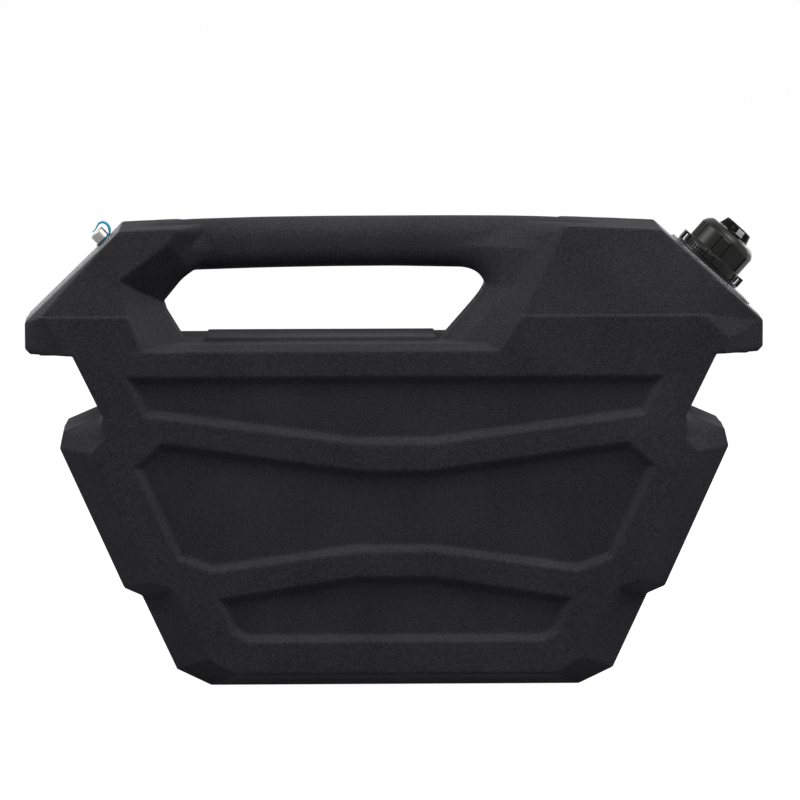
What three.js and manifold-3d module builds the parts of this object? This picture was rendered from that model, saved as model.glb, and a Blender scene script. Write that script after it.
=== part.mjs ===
// Portable diesel tank: a flat moulded can with a built-in carrying handle, a screw closure
// with a vent on its right slope, and a fuel outlet with a pickup tube on its left slope.
// Millimetres, +Z up, +X to the right, front face towards -Y, origin in the middle of the base.

import * as THREE from 'three';
import { mergeVertices } from 'three/addons/utils/BufferGeometryUtils.js';
import Module from 'manifold-3d';

const wasm = await Module();
wasm.setup();

// Fits and cuts
const seatGap = 0.3;
const cutOverrun = 3;

// Tank body
const bodyWidth = 567;
const shoulderHeight = 350;
const crownRise = 5.2;
const bodyDepth = 130;
const topInset = 11;
const sideInset = 20;
const partingDraft = 1.2;
const wallThickness = 4;
const recessDepth = 5;
const recessSlopeRun = 5.5;
const topArcSteps = 8;

// Carrying handle and the window under it
const gripHeight = 37;
const gripDepth = 42;
const gripLift = 2.8;
const gripSquareness = 0.72;
const gripSides = 20;
const holeInset = 49;
const bevelInset = 25;
const lipInset = 8;
const deckLipDrop = 5;
const deckPadHeight = 1.2;
const deckPadInset = 30;

// Stop ribs under the ears
const earRibWidth = 14;
const earRibLength = 26;
const earRibHeight = 1.6;

// Filler neck seat on the right slope
const neckAlongSlope = 47.5;
const neckPadStart = 15.5;
const neckPadLength = 74.5;
const neckPadWidth = 70;
const neckPadCorner = 10;
const neckPadHeight = 1.5;
const neckBossDepth = 12;
const neckBossWall = 6;

// Filler neck
const neckBoreRadius = 16;
const neckSpigotWall = 3;
const neckTubeWall = 4.5;
const neckTubeHeight = 20;
const neckFlangeReach = 1.4;
const neckFlangeHeight = 2.5;
const neckGasketHeight = 1.5;

// Toothed locking collar
const collarDiscHeight = 2;
const collarBoreGap = 0.4;
const collarTeeth = 48;
const collarToothReach = 2.4;
const collarToothDepth = 0.9;
const collarToothHeight = 3;
const collarLipHeight = 1.2;
const collarLipReach = 1;
const hookHeight = 9.3;
const hookThickness = 2.3;
const hookClearance = 1.3;
const hookWidth = 11;
const hookLipHeight = 1.5;
const hookLipReach = 0.8;

// Filler nut
const nutWall = 3;
const nutBoreGap = 0.5;
const nutTopHeight = 4.5;
const nutTopEdge = 5;
const nutTopSlope = 7;
const nutPanels = 8;
const nutGrooveDepth = 0.9;
const nutGrooveWidth = 1.5;
const nutRibDepth = 0.5;
const nutRibWidth = 0.8;
const nutRibsPerPanel = 4;
const nutSkirtReach = 1.8;
const nutSkirtHeight = 3;
const nutTabs = 20;
const nutTabSlot = 1.6;
const nutWindows = 3;

// Vent in the middle of the nut
const capGasketHeight = 2;
const ventFlangeHeight = 3;
const ventNeckInset = 3.8;
const ventSeatInset = 5;
const ventSeatHeight = 5.6;
const ventSeatStep = 2.2;
const ventHoleRadius = 1.5;
const ventFlapHeight = 1;
const ventStemRadius = 1.1;
const ventStemHeight = 3;
const ventRingRadius = 0.55;
const ventKnobReach = 0.6;
const ventKnobSlope = 2.3;
const ventKnobHeight = 7.4;
const ventKnobWall = 1.6;
const ventKnobWindows = 3;
const ventKnobWindowWidth = 9.5;
const ventKnobTurn = -1.4;

// Fuel outlet on the left slope
const outletAlongSlope = 15.4;
const outletBossWall = 4;
const outletInsertWall = 3.5;
const outletInsertLength = 14;
const outletStemRadius = 5;
const outletStemLength = 20;
const outletStemWall = 2.5;
const outletHeadReach = 0.9;
const outletHeadHeight = 7.1;
const outletHeadChamfer = 0.6;
const outletSealHeight = 1.8;
const outletSealWidth = 1.6;

// Pickup tube and strainer inside the tank
const pickupTubeInset = 1;
const pickupTubeWall = 1.4;
const pickupTubeSides = 8;
const pickupTubeSteps = 18;
const strainerReach = 1;
const strainerLength = 22;
const strainerWall = 1;
const strainerSlots = 6;
const strainerSlotWidth = 2;
const strainerSlotLength = 12;

// Retaining strap on the outlet
const strapThickness = 1.5;
const strapRingWidth = 1.9;
const strapWidth = 3.6;
const strapTailShare = 0.45;
const strapCurlReach = 10.4;
const strapCurlHeight = 11.75;
const strapSteps = 22;
const strapSides = 8;

// Facets
const roundSides = 48;
const smallSides = 24;
const plateCornerSteps = 5;
const panelArcSteps = 4;
const sharpestMitre = 0.5;

// Radii that follow from the neck's bore
const neckSpigotRadius = neckBoreRadius + neckSpigotWall;
const neckTubeRadius = neckBoreRadius + neckTubeWall;
const neckFlangeRadius = neckTubeRadius + neckFlangeReach;
const nutRadius = neckTubeRadius + nutBoreGap + nutWall;
const nutTopFlatRadius = nutRadius - nutTopSlope;
const nutSkirtRadius = nutRadius + nutSkirtReach;
const collarTipRadius = neckFlangeRadius + collarToothReach;
const collarRadius = nutSkirtRadius + hookClearance + hookThickness;
const ventNeckRadius = nutTopFlatRadius - ventNeckInset;
const ventKnobRadius = ventNeckRadius + ventKnobReach;
const ventKnobTopRadius = ventKnobRadius - ventKnobSlope;
const ventSeatRadius = ventNeckRadius - ventSeatInset;
const ventSeatStemRadius = ventSeatRadius - ventSeatStep;
const ventFlapRadius = ventSeatStemRadius;

// Radii that follow from the nipple's stem
const outletInsertRadius = outletStemRadius + outletInsertWall;
const outletBoreRadius = outletStemRadius - outletStemWall;
const outletHeadRadius = outletStemRadius + outletHeadReach;
const pickupTubeRadius = outletStemRadius - pickupTubeInset;
const pickupTubeBore = pickupTubeRadius - pickupTubeWall;
const strainerRadius = pickupTubeRadius + strainerReach;

const acrossDepth = new THREE.Vector3(0, 1, 0);
const halfWidth = bodyWidth / 2;
const halfDepth = bodyDepth / 2;
const sideHalfDepth = halfDepth - sideInset;
const sideHalfWidth = halfWidth - partingDraft;

// Corners from the inner end of the ear's underside down to the edge of the base:
// side x, side z, face x, face z, as shares of half the width and of the shoulder height
const flankShares = [
  [0.870, 0.731, 0.870, 0.731],
  [0.790, 0.599, 0.790, 0.599],
  [0.897, 0.562, 0.787, 0.548],
  [0.908, 0.524, 0.821, 0.5195],
  [0.736, 0.216, 0.666, 0.233],
  [0.688, 0.199, 0.603, 0.217],
  [0.594, 0.036, 0.511, 0.064],
  [0.501, 0.000, 0.436, 0.031],
];
const creaseShare = 0.8165;
const leftShoulderShare = 0.7435;
const rightShoulderShare = 0.7237;
const earTopShare = 0.8;
const earBottomShare = 0.731;
const leftEarFaceShare = 0.914;
const rightEarFaceShare = 0.892;
const rightEarBevelShares = [0.9025, 0.7655];
const rightCreaseFaceShare = 0.837;
const rightSlopeBevelShare = 0.557;

// Window: face x, face z, bevel x, bevel z, hole x, hole z, in the same shares
const windowShares = [
  [-0.749, 0.900, -0.690, 0.866, -0.642, 0.837],
  [-0.720, 0.8155, -0.668, 0.8155, -0.625, 0.8155],
  [-0.680, 0.754, -0.625, 0.754, -0.578, 0.754],
  [0.284, 0.754, 0.181, 0.754, 0.132, 0.754],
  [0.347, 0.8155, 0.253, 0.8155, 0.199, 0.8155],
  [0.386, 0.871, 0.320, 0.871, 0.258, 0.871],
  [0.518, 1.070, 0.503, 1.070, 0.292, 1.070],
  [-0.528, 1.070, -0.503, 1.070, -0.458, 1.070],
  [-0.620, 0.989, -0.584, 0.950, -0.555, 0.906],
];
const deckShare = 0.754;
const deckPadShares = [-0.506, 0.114];

// Handle bar stations: x as a share of half the width, depth as a share of the grip depth,
// how far the underside hangs as a share of the grip height, and a share of the lift
const gripShares = [
  [-0.684, 2.10, 0.70, -0.20],
  [-0.613, 2.00, 0.88, 0.10],
  [-0.548, 1.60, 0.98, 0.55],
  [-0.472, 1.25, 1.00, 0.90],
  [-0.382, 1.05, 1.00, 1.00],
  [-0.241, 1.00, 1.00, 1.00],
  [0.121, 1.00, 1.00, 1.00],
  [0.191, 1.08, 1.01, 0.95],
  [0.251, 1.28, 1.20, 0.80],
  [0.322, 1.62, 1.42, 0.60],
  [0.402, 2.00, 1.30, 0.30],
  [0.483, 2.22, 0.70, -0.10],
];

// Recessed panels, left half then mirrored, from the top centre round to the bottom centre
const panelShares = [
  [[-0.7253, 0.6845], [-0.678, 0.599], [-0.103, 0.536]],
  [[-0.091, 0.478], [-0.631, 0.540], [-0.704, 0.486], [-0.590, 0.284], [-0.493, 0.255], [-0.102, 0.300]],
  [[-0.102, 0.2453], [-0.480, 0.197], [-0.443, 0.121], [-0.401, 0.102]],
];

// Route of the pickup tube below the outlet, as shares of half the width and shoulder height
const pickupRouteShares = [
  [-0.704, 0.830],
  [-0.663, 0.680],
  [-0.543, 0.330],
  [-0.442, 0.110],
];

// Centre line of the strap's curl past the ring, as shares of its reach and height
const strapCurlShares = [
  [0.62, 0.00],
  [0.80, 0.15],
  [0.96, 0.34],
  [1.00, 0.59],
  [0.92, 0.82],
  [0.76, 0.94],
  [0.58, 1.00],
  [0.38, 0.97],
  [0.18, 0.86],
  [0.02, 0.83],
  [-0.23, 0.84],
];

// Turn a pair of shares into a point of the side view
function place([xShare, zShare], half = halfWidth) {
  return new THREE.Vector2(xShare * half, zShare * shoulderHeight);
}

// Depth of the front face below and above the crease
const creaseHeight = creaseShare * shoulderHeight;
const leanRate = topInset / (shoulderHeight - creaseHeight);
function faceDepthAt(z) {
  return halfDepth - Math.max(z - creaseHeight, 0) * leanRate;
}

// Manifold solid from a closed geometry, with its faces turned outwards
function solidOf(geometry) {
  const bare = new THREE.BufferGeometry();
  bare.setAttribute('position', geometry.getAttribute('position').clone());
  bare.setIndex(geometry.index ? geometry.index.clone() : null);
  const merged = mergeVertices(bare);
  const points = merged.getAttribute('position').array;
  const corners = merged.index.array;
  const kept = [];
  let volume = 0;
  const [a, b, c] = [new THREE.Vector3(), new THREE.Vector3(), new THREE.Vector3()];
  for (let i = 0; i < corners.length; i += 3) {
    const [p, q, r] = corners.slice(i, i + 3);
    if (p !== q && q !== r && r !== p) {
      kept.push([p, q, r]);
      a.fromArray(points, 3 * p);
      b.fromArray(points, 3 * q);
      c.fromArray(points, 3 * r);
      volume += a.dot(b.cross(c));
    }
  }
  const outward = volume > 0 ? kept : kept.map(([p, q, r]) => [p, r, q]);
  const mesh = new wasm.Mesh({
    numProp: 3,
    vertProperties: new Float32Array(points),
    triVerts: new Uint32Array(outward.flat()),
  });
  return new wasm.Manifold(mesh);
}

// Geometry with flat shading from a manifold solid
function geometryOf(solid) {
  const mesh = solid.getMesh();
  const geometry = new THREE.BufferGeometry();
  geometry.setAttribute('position', new THREE.BufferAttribute(mesh.vertProperties, 3));
  geometry.setIndex(new THREE.BufferAttribute(mesh.triVerts, 1));
  return geometry;
}

// Manifold solid from a list of points and a list of triangles
function solidFrom(points, triangles) {
  const geometry = new THREE.BufferGeometry();
  const places = points.flatMap((p) => p.toArray());
  geometry.setAttribute('position', new THREE.Float32BufferAttribute(places, 3));
  geometry.setIndex(triangles.flat());
  return solidOf(geometry);
}

// Closed solid through sections of as many points each
function swept(sections) {
  const count = sections[0].length;
  const triangles = [];
  for (let station = 0; station + 1 < sections.length; station += 1) {
    for (let i = 0; i < count; i += 1) {
      const [a, b] = [station * count + i, station * count + ((i + 1) % count)];
      triangles.push([a, b, b + count], [a, b + count, a + count]);
    }
  }
  const last = (sections.length - 1) * count;
  for (let i = 1; i + 1 < count; i += 1) {
    triangles.push([0, i + 1, i], [last, last + i, last + i + 1]);
  }
  return solidFrom(sections.flat(), triangles);
}

function join(solids) {
  return solids.reduce((whole, solid) => whole.add(solid));
}

function cut(solid, cutters) {
  return cutters.reduce((rest, cutter) => rest.subtract(cutter), solid);
}

// Counter-clockwise triangles of a flat loop, as indices into the loop
function loopTriangles(loop) {
  return THREE.ShapeUtils.triangulateShape(loop, []).map(([i, j, k]) => {
    const area = THREE.ShapeUtils.area([loop[i], loop[j], loop[k]]);
    return area > 0 ? [i, j, k] : [i, k, j];
  });
}

// Closed solid through rings of as many corners each, from front to back; each ring is a list
// of [x, z] corners with a depth of its own, and capLoops names the flat parts of an end
function loft(rings, capLoops = null) {
  const count = rings[0].length;
  const points = rings.flat();
  const triangles = [];
  for (let ring = 0; ring + 1 < rings.length; ring += 1) {
    for (let i = 0; i < count; i += 1) {
      const next = (i + 1) % count;
      const [a, b] = [ring * count + i, ring * count + next];
      triangles.push([a, b + count, b], [a, a + count, b + count]);
    }
  }
  const last = (rings.length - 1) * count;
  const loops = capLoops || [rings[0].map((_, i) => i)];
  const flatOf = (end, loop) => loop.map((i) => new THREE.Vector2(end[i].x, end[i].z));
  for (const loop of loops) {
    const flat = flatOf(rings[0], loop);
    const back = flatOf(rings[rings.length - 1], loop);
    loopTriangles(flat).forEach(([i, j, k]) => triangles.push([loop[i], loop[j], loop[k]]));
    loopTriangles(back).forEach(([i, j, k]) => {
      triangles.push([last + loop[i], last + loop[k], last + loop[j]]);
    });
  }
  return solidFrom(points, triangles);
}

// Outline moved outwards by a distance, with mitred corners; repeated corners stay together
function grown(outline, distance) {
  const count = outline.length;
  const distinct = (from, step) => {
    let i = (from + step + count) % count;
    while (outline[i].distanceTo(outline[from]) < Number.EPSILON * bodyWidth) {
      i = (i + step + count) % count;
    }
    return outline[i];
  };
  return outline.map((point, i) => {
    const into = point.clone().sub(distinct(i, -1)).normalize();
    const out = distinct(i, 1).clone().sub(point).normalize();
    const mitre = into.clone().add(out).normalize();
    const outwards = new THREE.Vector2(mitre.y, -mitre.x);
    return point.clone().add(outwards.multiplyScalar(distance / Math.max(mitre.dot(into), sharpestMitre)));
  });
}

function atDepth(outline, depth) {
  return outline.map((p) => new THREE.Vector3(p.x, depth, p.y));
}

// Ring profile turned about +Z; its points are [radius, height]
function turned(profile, sides = roundSides) {
  const points = profile.map(([radius, height]) => new THREE.Vector2(radius, height));
  points.push(points[0].clone());
  return solidOf(new THREE.LatheGeometry(points, sides).rotateX(Math.PI / 2));
}

function rod(radius, low, high, sides = roundSides) {
  return turned([[0, low], [radius, low], [radius, high], [0, high]], sides);
}

function ring(inner, outer, low, high, sides = roundSides) {
  return turned([[inner, low], [outer, low], [outer, high], [inner, high]], sides);
}

function block(x, y, z, width, depth, height) {
  return solidOf(new THREE.BoxGeometry(width, depth, height).translate(x, y, z));
}

// Flat outline in X and Y raised along Z
function raised(outline, low, high, hole = null) {
  const shape = new THREE.Shape(outline);
  if (hole) {
    shape.holes.push(new THREE.Path(hole));
  }
  const options = { depth: high - low, bevelEnabled: false };
  return solidOf(new THREE.ExtrudeGeometry(shape, options).translate(0, 0, low));
}

function polar(radius, angle) {
  return new THREE.Vector2(radius * Math.cos(angle), radius * Math.sin(angle));
}

function circle(radius, sides = roundSides) {
  return Array.from({ length: sides }, (_, i) => polar(radius, (2 * Math.PI * i) / sides));
}

// Plate outline with rounded corners, from a low to a high X and as far to both sides
function roundedPlate(lowX, highX, reach, corner) {
  const shape = new THREE.Shape();
  shape.moveTo(lowX + corner, -reach);
  shape.absarc(highX - corner, corner - reach, corner, -Math.PI / 2, 0);
  shape.absarc(highX - corner, reach - corner, corner, 0, Math.PI / 2);
  shape.absarc(lowX + corner, reach - corner, corner, Math.PI / 2, Math.PI);
  shape.absarc(lowX + corner, corner - reach, corner, Math.PI, (3 * Math.PI) / 2);
  return shape.getPoints(plateCornerSteps);
}

// Section with rounded corners, seen along X
function roundedSection(x, reach, low, high) {
  const [middle, half] = [(low + high) / 2, (high - low) / 2];
  return Array.from({ length: gripSides }, (_, i) => {
    const angle = (2 * Math.PI * (i + 0.5)) / gripSides;
    const [side, lift] = [Math.cos(angle), Math.sin(angle)];
    const y = reach * Math.sign(side) * Math.abs(side) ** gripSquareness;
    const z = middle + half * Math.sign(lift) * Math.abs(lift) ** gripSquareness;
    return new THREE.Vector3(x, y, z);
  });
}

// Frames of the two slopes on the parting line: where a fitting stands and how its axis leans
function slopeSeat(side, shoulderShare, alongSlope) {
  const corner = place([shoulderShare, 1]);
  const ear = place([1, earTopShare]);
  const lean = Math.atan2(corner.y - ear.y, ear.x - corner.x);
  const x = side * (corner.x + alongSlope * Math.cos(lean));
  const z = corner.y - alongSlope * Math.sin(lean);
  return { origin: new THREE.Vector3(x, 0, z), lean: side * lean };
}

const neckSeat = slopeSeat(1, rightShoulderShare, neckAlongSlope);
const outletSeat = slopeSeat(-1, leftShoulderShare, outletAlongSlope);

function seatMatrix(seat) {
  const turn = new THREE.Matrix4().makeRotationY(seat.lean);
  return turn.setPosition(seat.origin);
}

function moved(solid, seat) {
  return solidOf(geometryOf(solid).applyMatrix4(seatMatrix(seat)));
}

function neckPadOutline() {
  const low = neckPadStart - neckAlongSlope;
  return roundedPlate(low, low + neckPadLength, neckPadWidth / 2, neckPadCorner);
}

// Crown of the top edge over the handle
function topAt(x) {
  const [left, right] = [-leftShoulderShare * sideHalfWidth, rightShoulderShare * sideHalfWidth];
  const across = (2 * (x - left)) / (right - left) - 1;
  return shoulderHeight + crownRise * Math.max(1 - across * across, 0);
}

// Side and face outlines of the body, counter-clockwise from the left shoulder, with the
// places in the list where the crease meets the face outline
function bodyOutlines(half) {
  const side = [];
  const face = [];
  const add = (sidePoint, facePoint) => {
    side.push(sidePoint);
    face.push(facePoint);
    return side.length - 1;
  };
  const shoulderL = place([-leftShoulderShare, 1], half);
  const shoulderR = place([rightShoulderShare, 1], half);
  const earL = place([-1, earTopShare], half);
  const earR = place([1, earTopShare], half);
  add(shoulderL, shoulderL.clone());
  const slopeShare = (1 - creaseShare) / (1 - earTopShare);
  const creaseL = add(earL, shoulderL.clone().lerp(earL, slopeShare));
  add(place([-1, earBottomShare], half), place([-leftEarFaceShare, earBottomShare], half));
  for (const [sx, sz, fx, fz] of flankShares) {
    add(place([-sx, sz], half), place([-fx, fz], half));
  }
  for (const [sx, sz, fx, fz] of flankShares.toReversed()) {
    add(place([sx, sz], half), place([fx, fz], half));
  }
  add(place([1, earBottomShare], half), place([rightEarFaceShare, earBottomShare], half));
  add(earR, place(rightEarBevelShares, half));
  const creaseR = add(earR.clone(), place([rightCreaseFaceShare, creaseShare], half));
  add(earR.clone(), shoulderR.clone().lerp(earR, rightSlopeBevelShare));
  add(shoulderR, shoulderR.clone());
  for (let step = 1; step < topArcSteps; step += 1) {
    const x = THREE.MathUtils.lerp(shoulderR.x, shoulderL.x, step / topArcSteps);
    const crown = new THREE.Vector2(x, topAt(x));
    add(crown, crown.clone());
  }
  return { side, face, creaseL, creaseR };
}

function capLoopsOf(outlines) {
  const count = outlines.side.length;
  const lower = [];
  for (let i = outlines.creaseL; i <= outlines.creaseR; i += 1) {
    lower.push(i);
  }
  const upper = [outlines.creaseL];
  for (let i = outlines.creaseR; i < count; i += 1) {
    upper.push(i);
  }
  upper.push(0);
  return [lower, upper];
}

// Body block, or the hollow inside it when it is drawn in by a wall
function bodyBlock(inset) {
  const outlines = bodyOutlines(sideHalfWidth);
  const parting = bodyOutlines(halfWidth).side;
  const side = grown(outlines.side, -inset);
  const face = grown(outlines.face, -inset);
  const front = face.map((p) => new THREE.Vector3(p.x, inset - faceDepthAt(p.y), p.y));
  const back = front.map((p) => new THREE.Vector3(p.x, -p.y, p.z));
  const sideY = sideHalfDepth - inset / 2;
  const rings = [
    front,
    atDepth(side, -sideY),
    atDepth(grown(parting, -inset), 0),
    atDepth(side, sideY),
    back,
  ];
  return loft(rings, capLoopsOf(outlines));
}

// Window under the handle, wider by a margin where a wall has to stay round it
function windowCut(margin) {
  const rows = windowShares.map(([fx, fz, bx, bz, hx, hz]) => ({
    face: place([fx, fz]),
    bevel: place([bx, bz]),
    hole: place([hx, hz]),
  }));
  const face = grown(rows.map((row) => row.face), margin);
  const bevel = grown(rows.map((row) => row.bevel), margin);
  const hole = grown(rows.map((row) => row.hole), margin);
  const lip = face.map((p, i) => p.clone().lerp(bevel[i], lipInset / bevelInset));
  const deckHeight = deckShare * shoulderHeight - margin;
  const dropped = face.map((p) => {
    const onDeck = Math.abs(p.y - deckHeight) < deckLipDrop;
    return onDeck ? p.clone().setY(p.y - deckLipDrop) : p;
  });
  const half = [
    [dropped, halfDepth + cutOverrun],
    [dropped, halfDepth],
    [lip, halfDepth - lipInset + margin / 2],
    [bevel, halfDepth - bevelInset + margin / 2],
    [hole, halfDepth - holeInset + margin / 2],
  ];
  const front = half.map(([outline, depth]) => atDepth(outline, -depth));
  const rear = half.toReversed().map(([outline, depth]) => atDepth(outline, depth));
  return loft([...front, ...rear]);
}

// Handle bar, or the channel inside it when it is drawn in by a wall
function gripBar(inset) {
  return swept(gripShares.map(([xShare, depthShare, hangShare, liftShare]) => {
    const x = xShare * halfWidth;
    const top = topAt(x) + liftShare * gripLift;
    const low = top - gripHeight * hangShare;
    return roundedSection(x, (depthShare * gripDepth) / 2 - inset, low + inset, top - inset);
  }));
}

// Recessed panels on the front or the back; a margin makes the step behind them in the hollow
function panelCuts(side, margin) {
  return panelShares.map((left) => {
    const right = left.map(([x, z]) => [-x, z]).toReversed();
    const outline = grown([...left, ...right].map((pair) => place(pair)), margin);
    const floor = grown(outline, -recessSlopeRun);
    const brim = grown(outline, (recessSlopeRun * cutOverrun) / recessDepth);
    const floorDepth = halfDepth - recessDepth - margin;
    const depths = side < 0
      ? [[brim, -halfDepth - cutOverrun], [outline, -halfDepth], [floor, -floorDepth]]
      : [[floor, floorDepth], [outline, halfDepth], [brim, halfDepth + cutOverrun]];
    return loft(depths.map(([loop, depth]) => atDepth(loop, depth)));
  });
}

function tankShell() {
  const neckBore = neckSpigotRadius + seatGap;
  const neckBoss = rod(neckBore + neckBossWall, -wallThickness - neckBossDepth, 0);
  const insertBore = outletInsertRadius + seatGap;
  const outletBoss = rod(insertBore + outletBossWall, -outletInsertLength, 0, smallSides);
  const room = cut(bodyBlock(wallThickness), [windowCut(wallThickness)]);
  const hollow = cut(join([room, gripBar(wallThickness)]), [
    ...panelCuts(-1, wallThickness),
    ...panelCuts(1, wallThickness),
    moved(neckBoss, neckSeat),
    moved(outletBoss, outletSeat),
  ]);

  const deckX = deckPadShares.map((share) => share * halfWidth);
  const deckTop = deckShare * shoulderHeight + deckPadHeight;
  const deckPad = block(
    (deckX[0] + deckX[1]) / 2, 0, deckTop - wallThickness / 2,
    deckX[1] - deckX[0], bodyDepth - 2 * deckPadInset, wallThickness,
  );
  const earZ = earBottomShare * shoulderHeight;
  const earX = (1 + flankShares[0][0]) * sideHalfWidth / 2;
  const earRibs = [-1, 1].map((side) => {
    return block(side * earX, 0, earZ, earRibWidth, earRibLength, earRibHeight * 2);
  });
  const solid = join([
    cut(bodyBlock(0), [windowCut(0)]),
    gripBar(0),
    deckPad,
    ...earRibs,
    moved(raised(neckPadOutline(), -wallThickness / 2, neckPadHeight), neckSeat),
  ]);
  const neckHole = rod(neckBore, -wallThickness - neckBossDepth - cutOverrun, neckPadHeight + cutOverrun);
  const outletHole = rod(insertBore, -outletInsertLength - cutOverrun, cutOverrun, smallSides);
  return cut(solid, [
    ...panelCuts(-1, 0),
    ...panelCuts(1, 0),
    hollow,
    moved(neckHole, neckSeat),
    moved(outletHole, outletSeat),
  ]);
}

// Heights of the closure above its pad
const neckGasketTop = seatGap + neckGasketHeight;
const neckFlangeLow = neckGasketTop + seatGap;
const neckFlangeTop = neckFlangeLow + neckFlangeHeight;
const collarDiscTop = seatGap + collarDiscHeight;
const collarToothTop = collarDiscTop + collarToothHeight;
const collarLipLow = neckFlangeTop + seatGap;
const collarLipTop = Math.max(collarLipLow + collarLipHeight, collarToothTop);
const nutLow = collarLipTop + seatGap;
const capGasketLow = neckTubeHeight + seatGap;
const ventFlangeLow = capGasketLow + capGasketHeight + seatGap;
const ventSeatLow = ventFlangeLow + ventFlangeHeight;
const nutTopLow = ventFlangeLow + ventFlangeHeight + seatGap;
const nutTop = nutTopLow + nutTopHeight;
const ventNeckTop = nutTop + seatGap;
const knobLow = ventNeckTop + seatGap;
const knobTop = knobLow + ventKnobHeight;
const ventSeatTop = ventNeckTop + ventSeatHeight;

function fillerNeck() {
  const low = -neckPadHeight - wallThickness - neckBossDepth;
  return turned([
    [neckBoreRadius, low],
    [neckSpigotRadius, low],
    [neckSpigotRadius, neckFlangeLow],
    [neckFlangeRadius, neckFlangeLow],
    [neckFlangeRadius, neckFlangeTop],
    [neckTubeRadius, neckFlangeTop],
    [neckTubeRadius, neckTubeHeight],
    [neckBoreRadius, neckTubeHeight],
  ]);
}

function neckGasket() {
  return ring(neckSpigotRadius + seatGap, neckFlangeRadius, seatGap, neckGasketTop);
}

// Toothed ring with a lip over the neck's flange and two upturned hooks
function lockingCollar() {
  const bore = neckFlangeRadius + collarBoreGap;
  const teeth = Array.from({ length: collarTeeth * 4 }, (_, i) => {
    const tip = i % 4 === 1 || i % 4 === 2;
    const radius = tip ? collarTipRadius : collarTipRadius - collarToothDepth;
    return polar(radius, (2 * Math.PI * i) / (collarTeeth * 4));
  });
  const wallHeight = hookHeight - collarDiscHeight;
  const lipReach = hookThickness + hookLipReach;
  const hooks = [-1, 1].map((side) => {
    const wallX = side * (collarRadius - hookThickness / 2);
    const wall = block(wallX, 0, hookHeight - wallHeight / 2, hookThickness, hookWidth, wallHeight);
    const lipX = side * (collarRadius - lipReach / 2);
    const lip = block(lipX, 0, hookHeight - hookLipHeight / 2, lipReach, hookWidth, hookLipHeight);
    return join([wall, lip]);
  });
  return join([
    ring(bore, collarRadius, seatGap, collarDiscTop),
    raised(teeth, collarDiscTop - seatGap, collarLipTop, circle(bore).toReversed()),
    ring(bore - collarLipReach, bore + seatGap, collarLipLow, collarLipTop),
    ...hooks,
  ]);
}

// Outline of the nut's grip: smooth panels parted by grooves, every other one with fine ribs
function gripOutline() {
  const points = [];
  const panel = (2 * Math.PI) / nutPanels;
  const groove = nutGrooveWidth / nutRadius;
  const rib = nutRibWidth / nutRadius;
  for (let p = 0; p < nutPanels; p += 1) {
    const start = p * panel;
    const grooveRadius = nutRadius - nutGrooveDepth;
    points.push(polar(grooveRadius, start), polar(grooveRadius, start + groove));
    points.push(polar(nutRadius, start + groove));
    if (p % 2 === 0) {
      for (let r = 1; r <= nutRibsPerPanel; r += 1) {
        const angle = start + groove + r * rib * 2;
        points.push(polar(nutRadius, angle), polar(nutRadius - nutRibDepth, angle));
        points.push(polar(nutRadius - nutRibDepth, angle + rib), polar(nutRadius, angle + rib));
      }
    }
    const free = start + groove + (p % 2 === 0 ? (nutRibsPerPanel * 2 + 2) * rib : 2 * rib);
    for (let s = 0; s <= panelArcSteps; s += 1) {
      points.push(polar(nutRadius, THREE.MathUtils.lerp(free, start + panel, s / panelArcSteps)));
    }
  }
  return points;
}

function fillerNut() {
  const bore = neckTubeRadius + nutBoreGap;
  const grip = raised(gripOutline(), nutLow, nutTop);
  const crown = turned([
    [0, nutLow - cutOverrun],
    [nutRadius + cutOverrun, nutLow - cutOverrun],
    [nutRadius + cutOverrun, nutTop - nutTopEdge],
    [nutRadius, nutTop - nutTopEdge],
    [(nutRadius * 2 + nutTopFlatRadius) / 3, nutTop - nutTopEdge / 3],
    [nutTopFlatRadius, nutTop],
    [0, nutTop],
  ]);
  const tabInner = collarTipRadius + seatGap;
  const skirt = join([
    ring(bore, nutSkirtRadius, nutLow, nutLow + nutSkirtHeight),
    ring(tabInner, nutSkirtRadius, collarDiscTop + seatGap, nutLow + seatGap),
  ]);
  const slotHeight = nutLow - collarDiscTop;
  const slots = Array.from({ length: nutTabs }, (_, i) => {
    const slot = new THREE.BoxGeometry(cutOverrun * 2, nutTabSlot, slotHeight);
    slot.translate(nutSkirtRadius, 0, nutLow - slotHeight / 2);
    return solidOf(slot.rotateZ((2 * Math.PI * i) / nutTabs));
  });
  const bays = Array.from({ length: nutWindows }, (_, i) => {
    const reach = nutSkirtRadius + cutOverrun;
    const half = Math.PI / nutWindows / 2;
    const middle = 2 * half * (2 * i + 1) + Math.PI / 2;
    const sides = [polar(reach, middle - half), polar(reach, middle + half)];
    const wedge = [polar(0, 0), sides[0], polar(reach / Math.cos(half), middle), sides[1]];
    return raised(wedge, collarDiscTop, nutLow);
  });
  const body = join([grip.intersect(crown), cut(skirt, [...slots, ...bays])]);
  return cut(body, [
    rod(bore, collarDiscTop, nutTopLow),
    rod(ventNeckRadius + seatGap, nutTopLow - cutOverrun, nutTop + cutOverrun),
  ]);
}

function capGasket() {
  return ring(neckBoreRadius + seatGap, neckTubeRadius, capGasketLow, capGasketLow + capGasketHeight);
}

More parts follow.
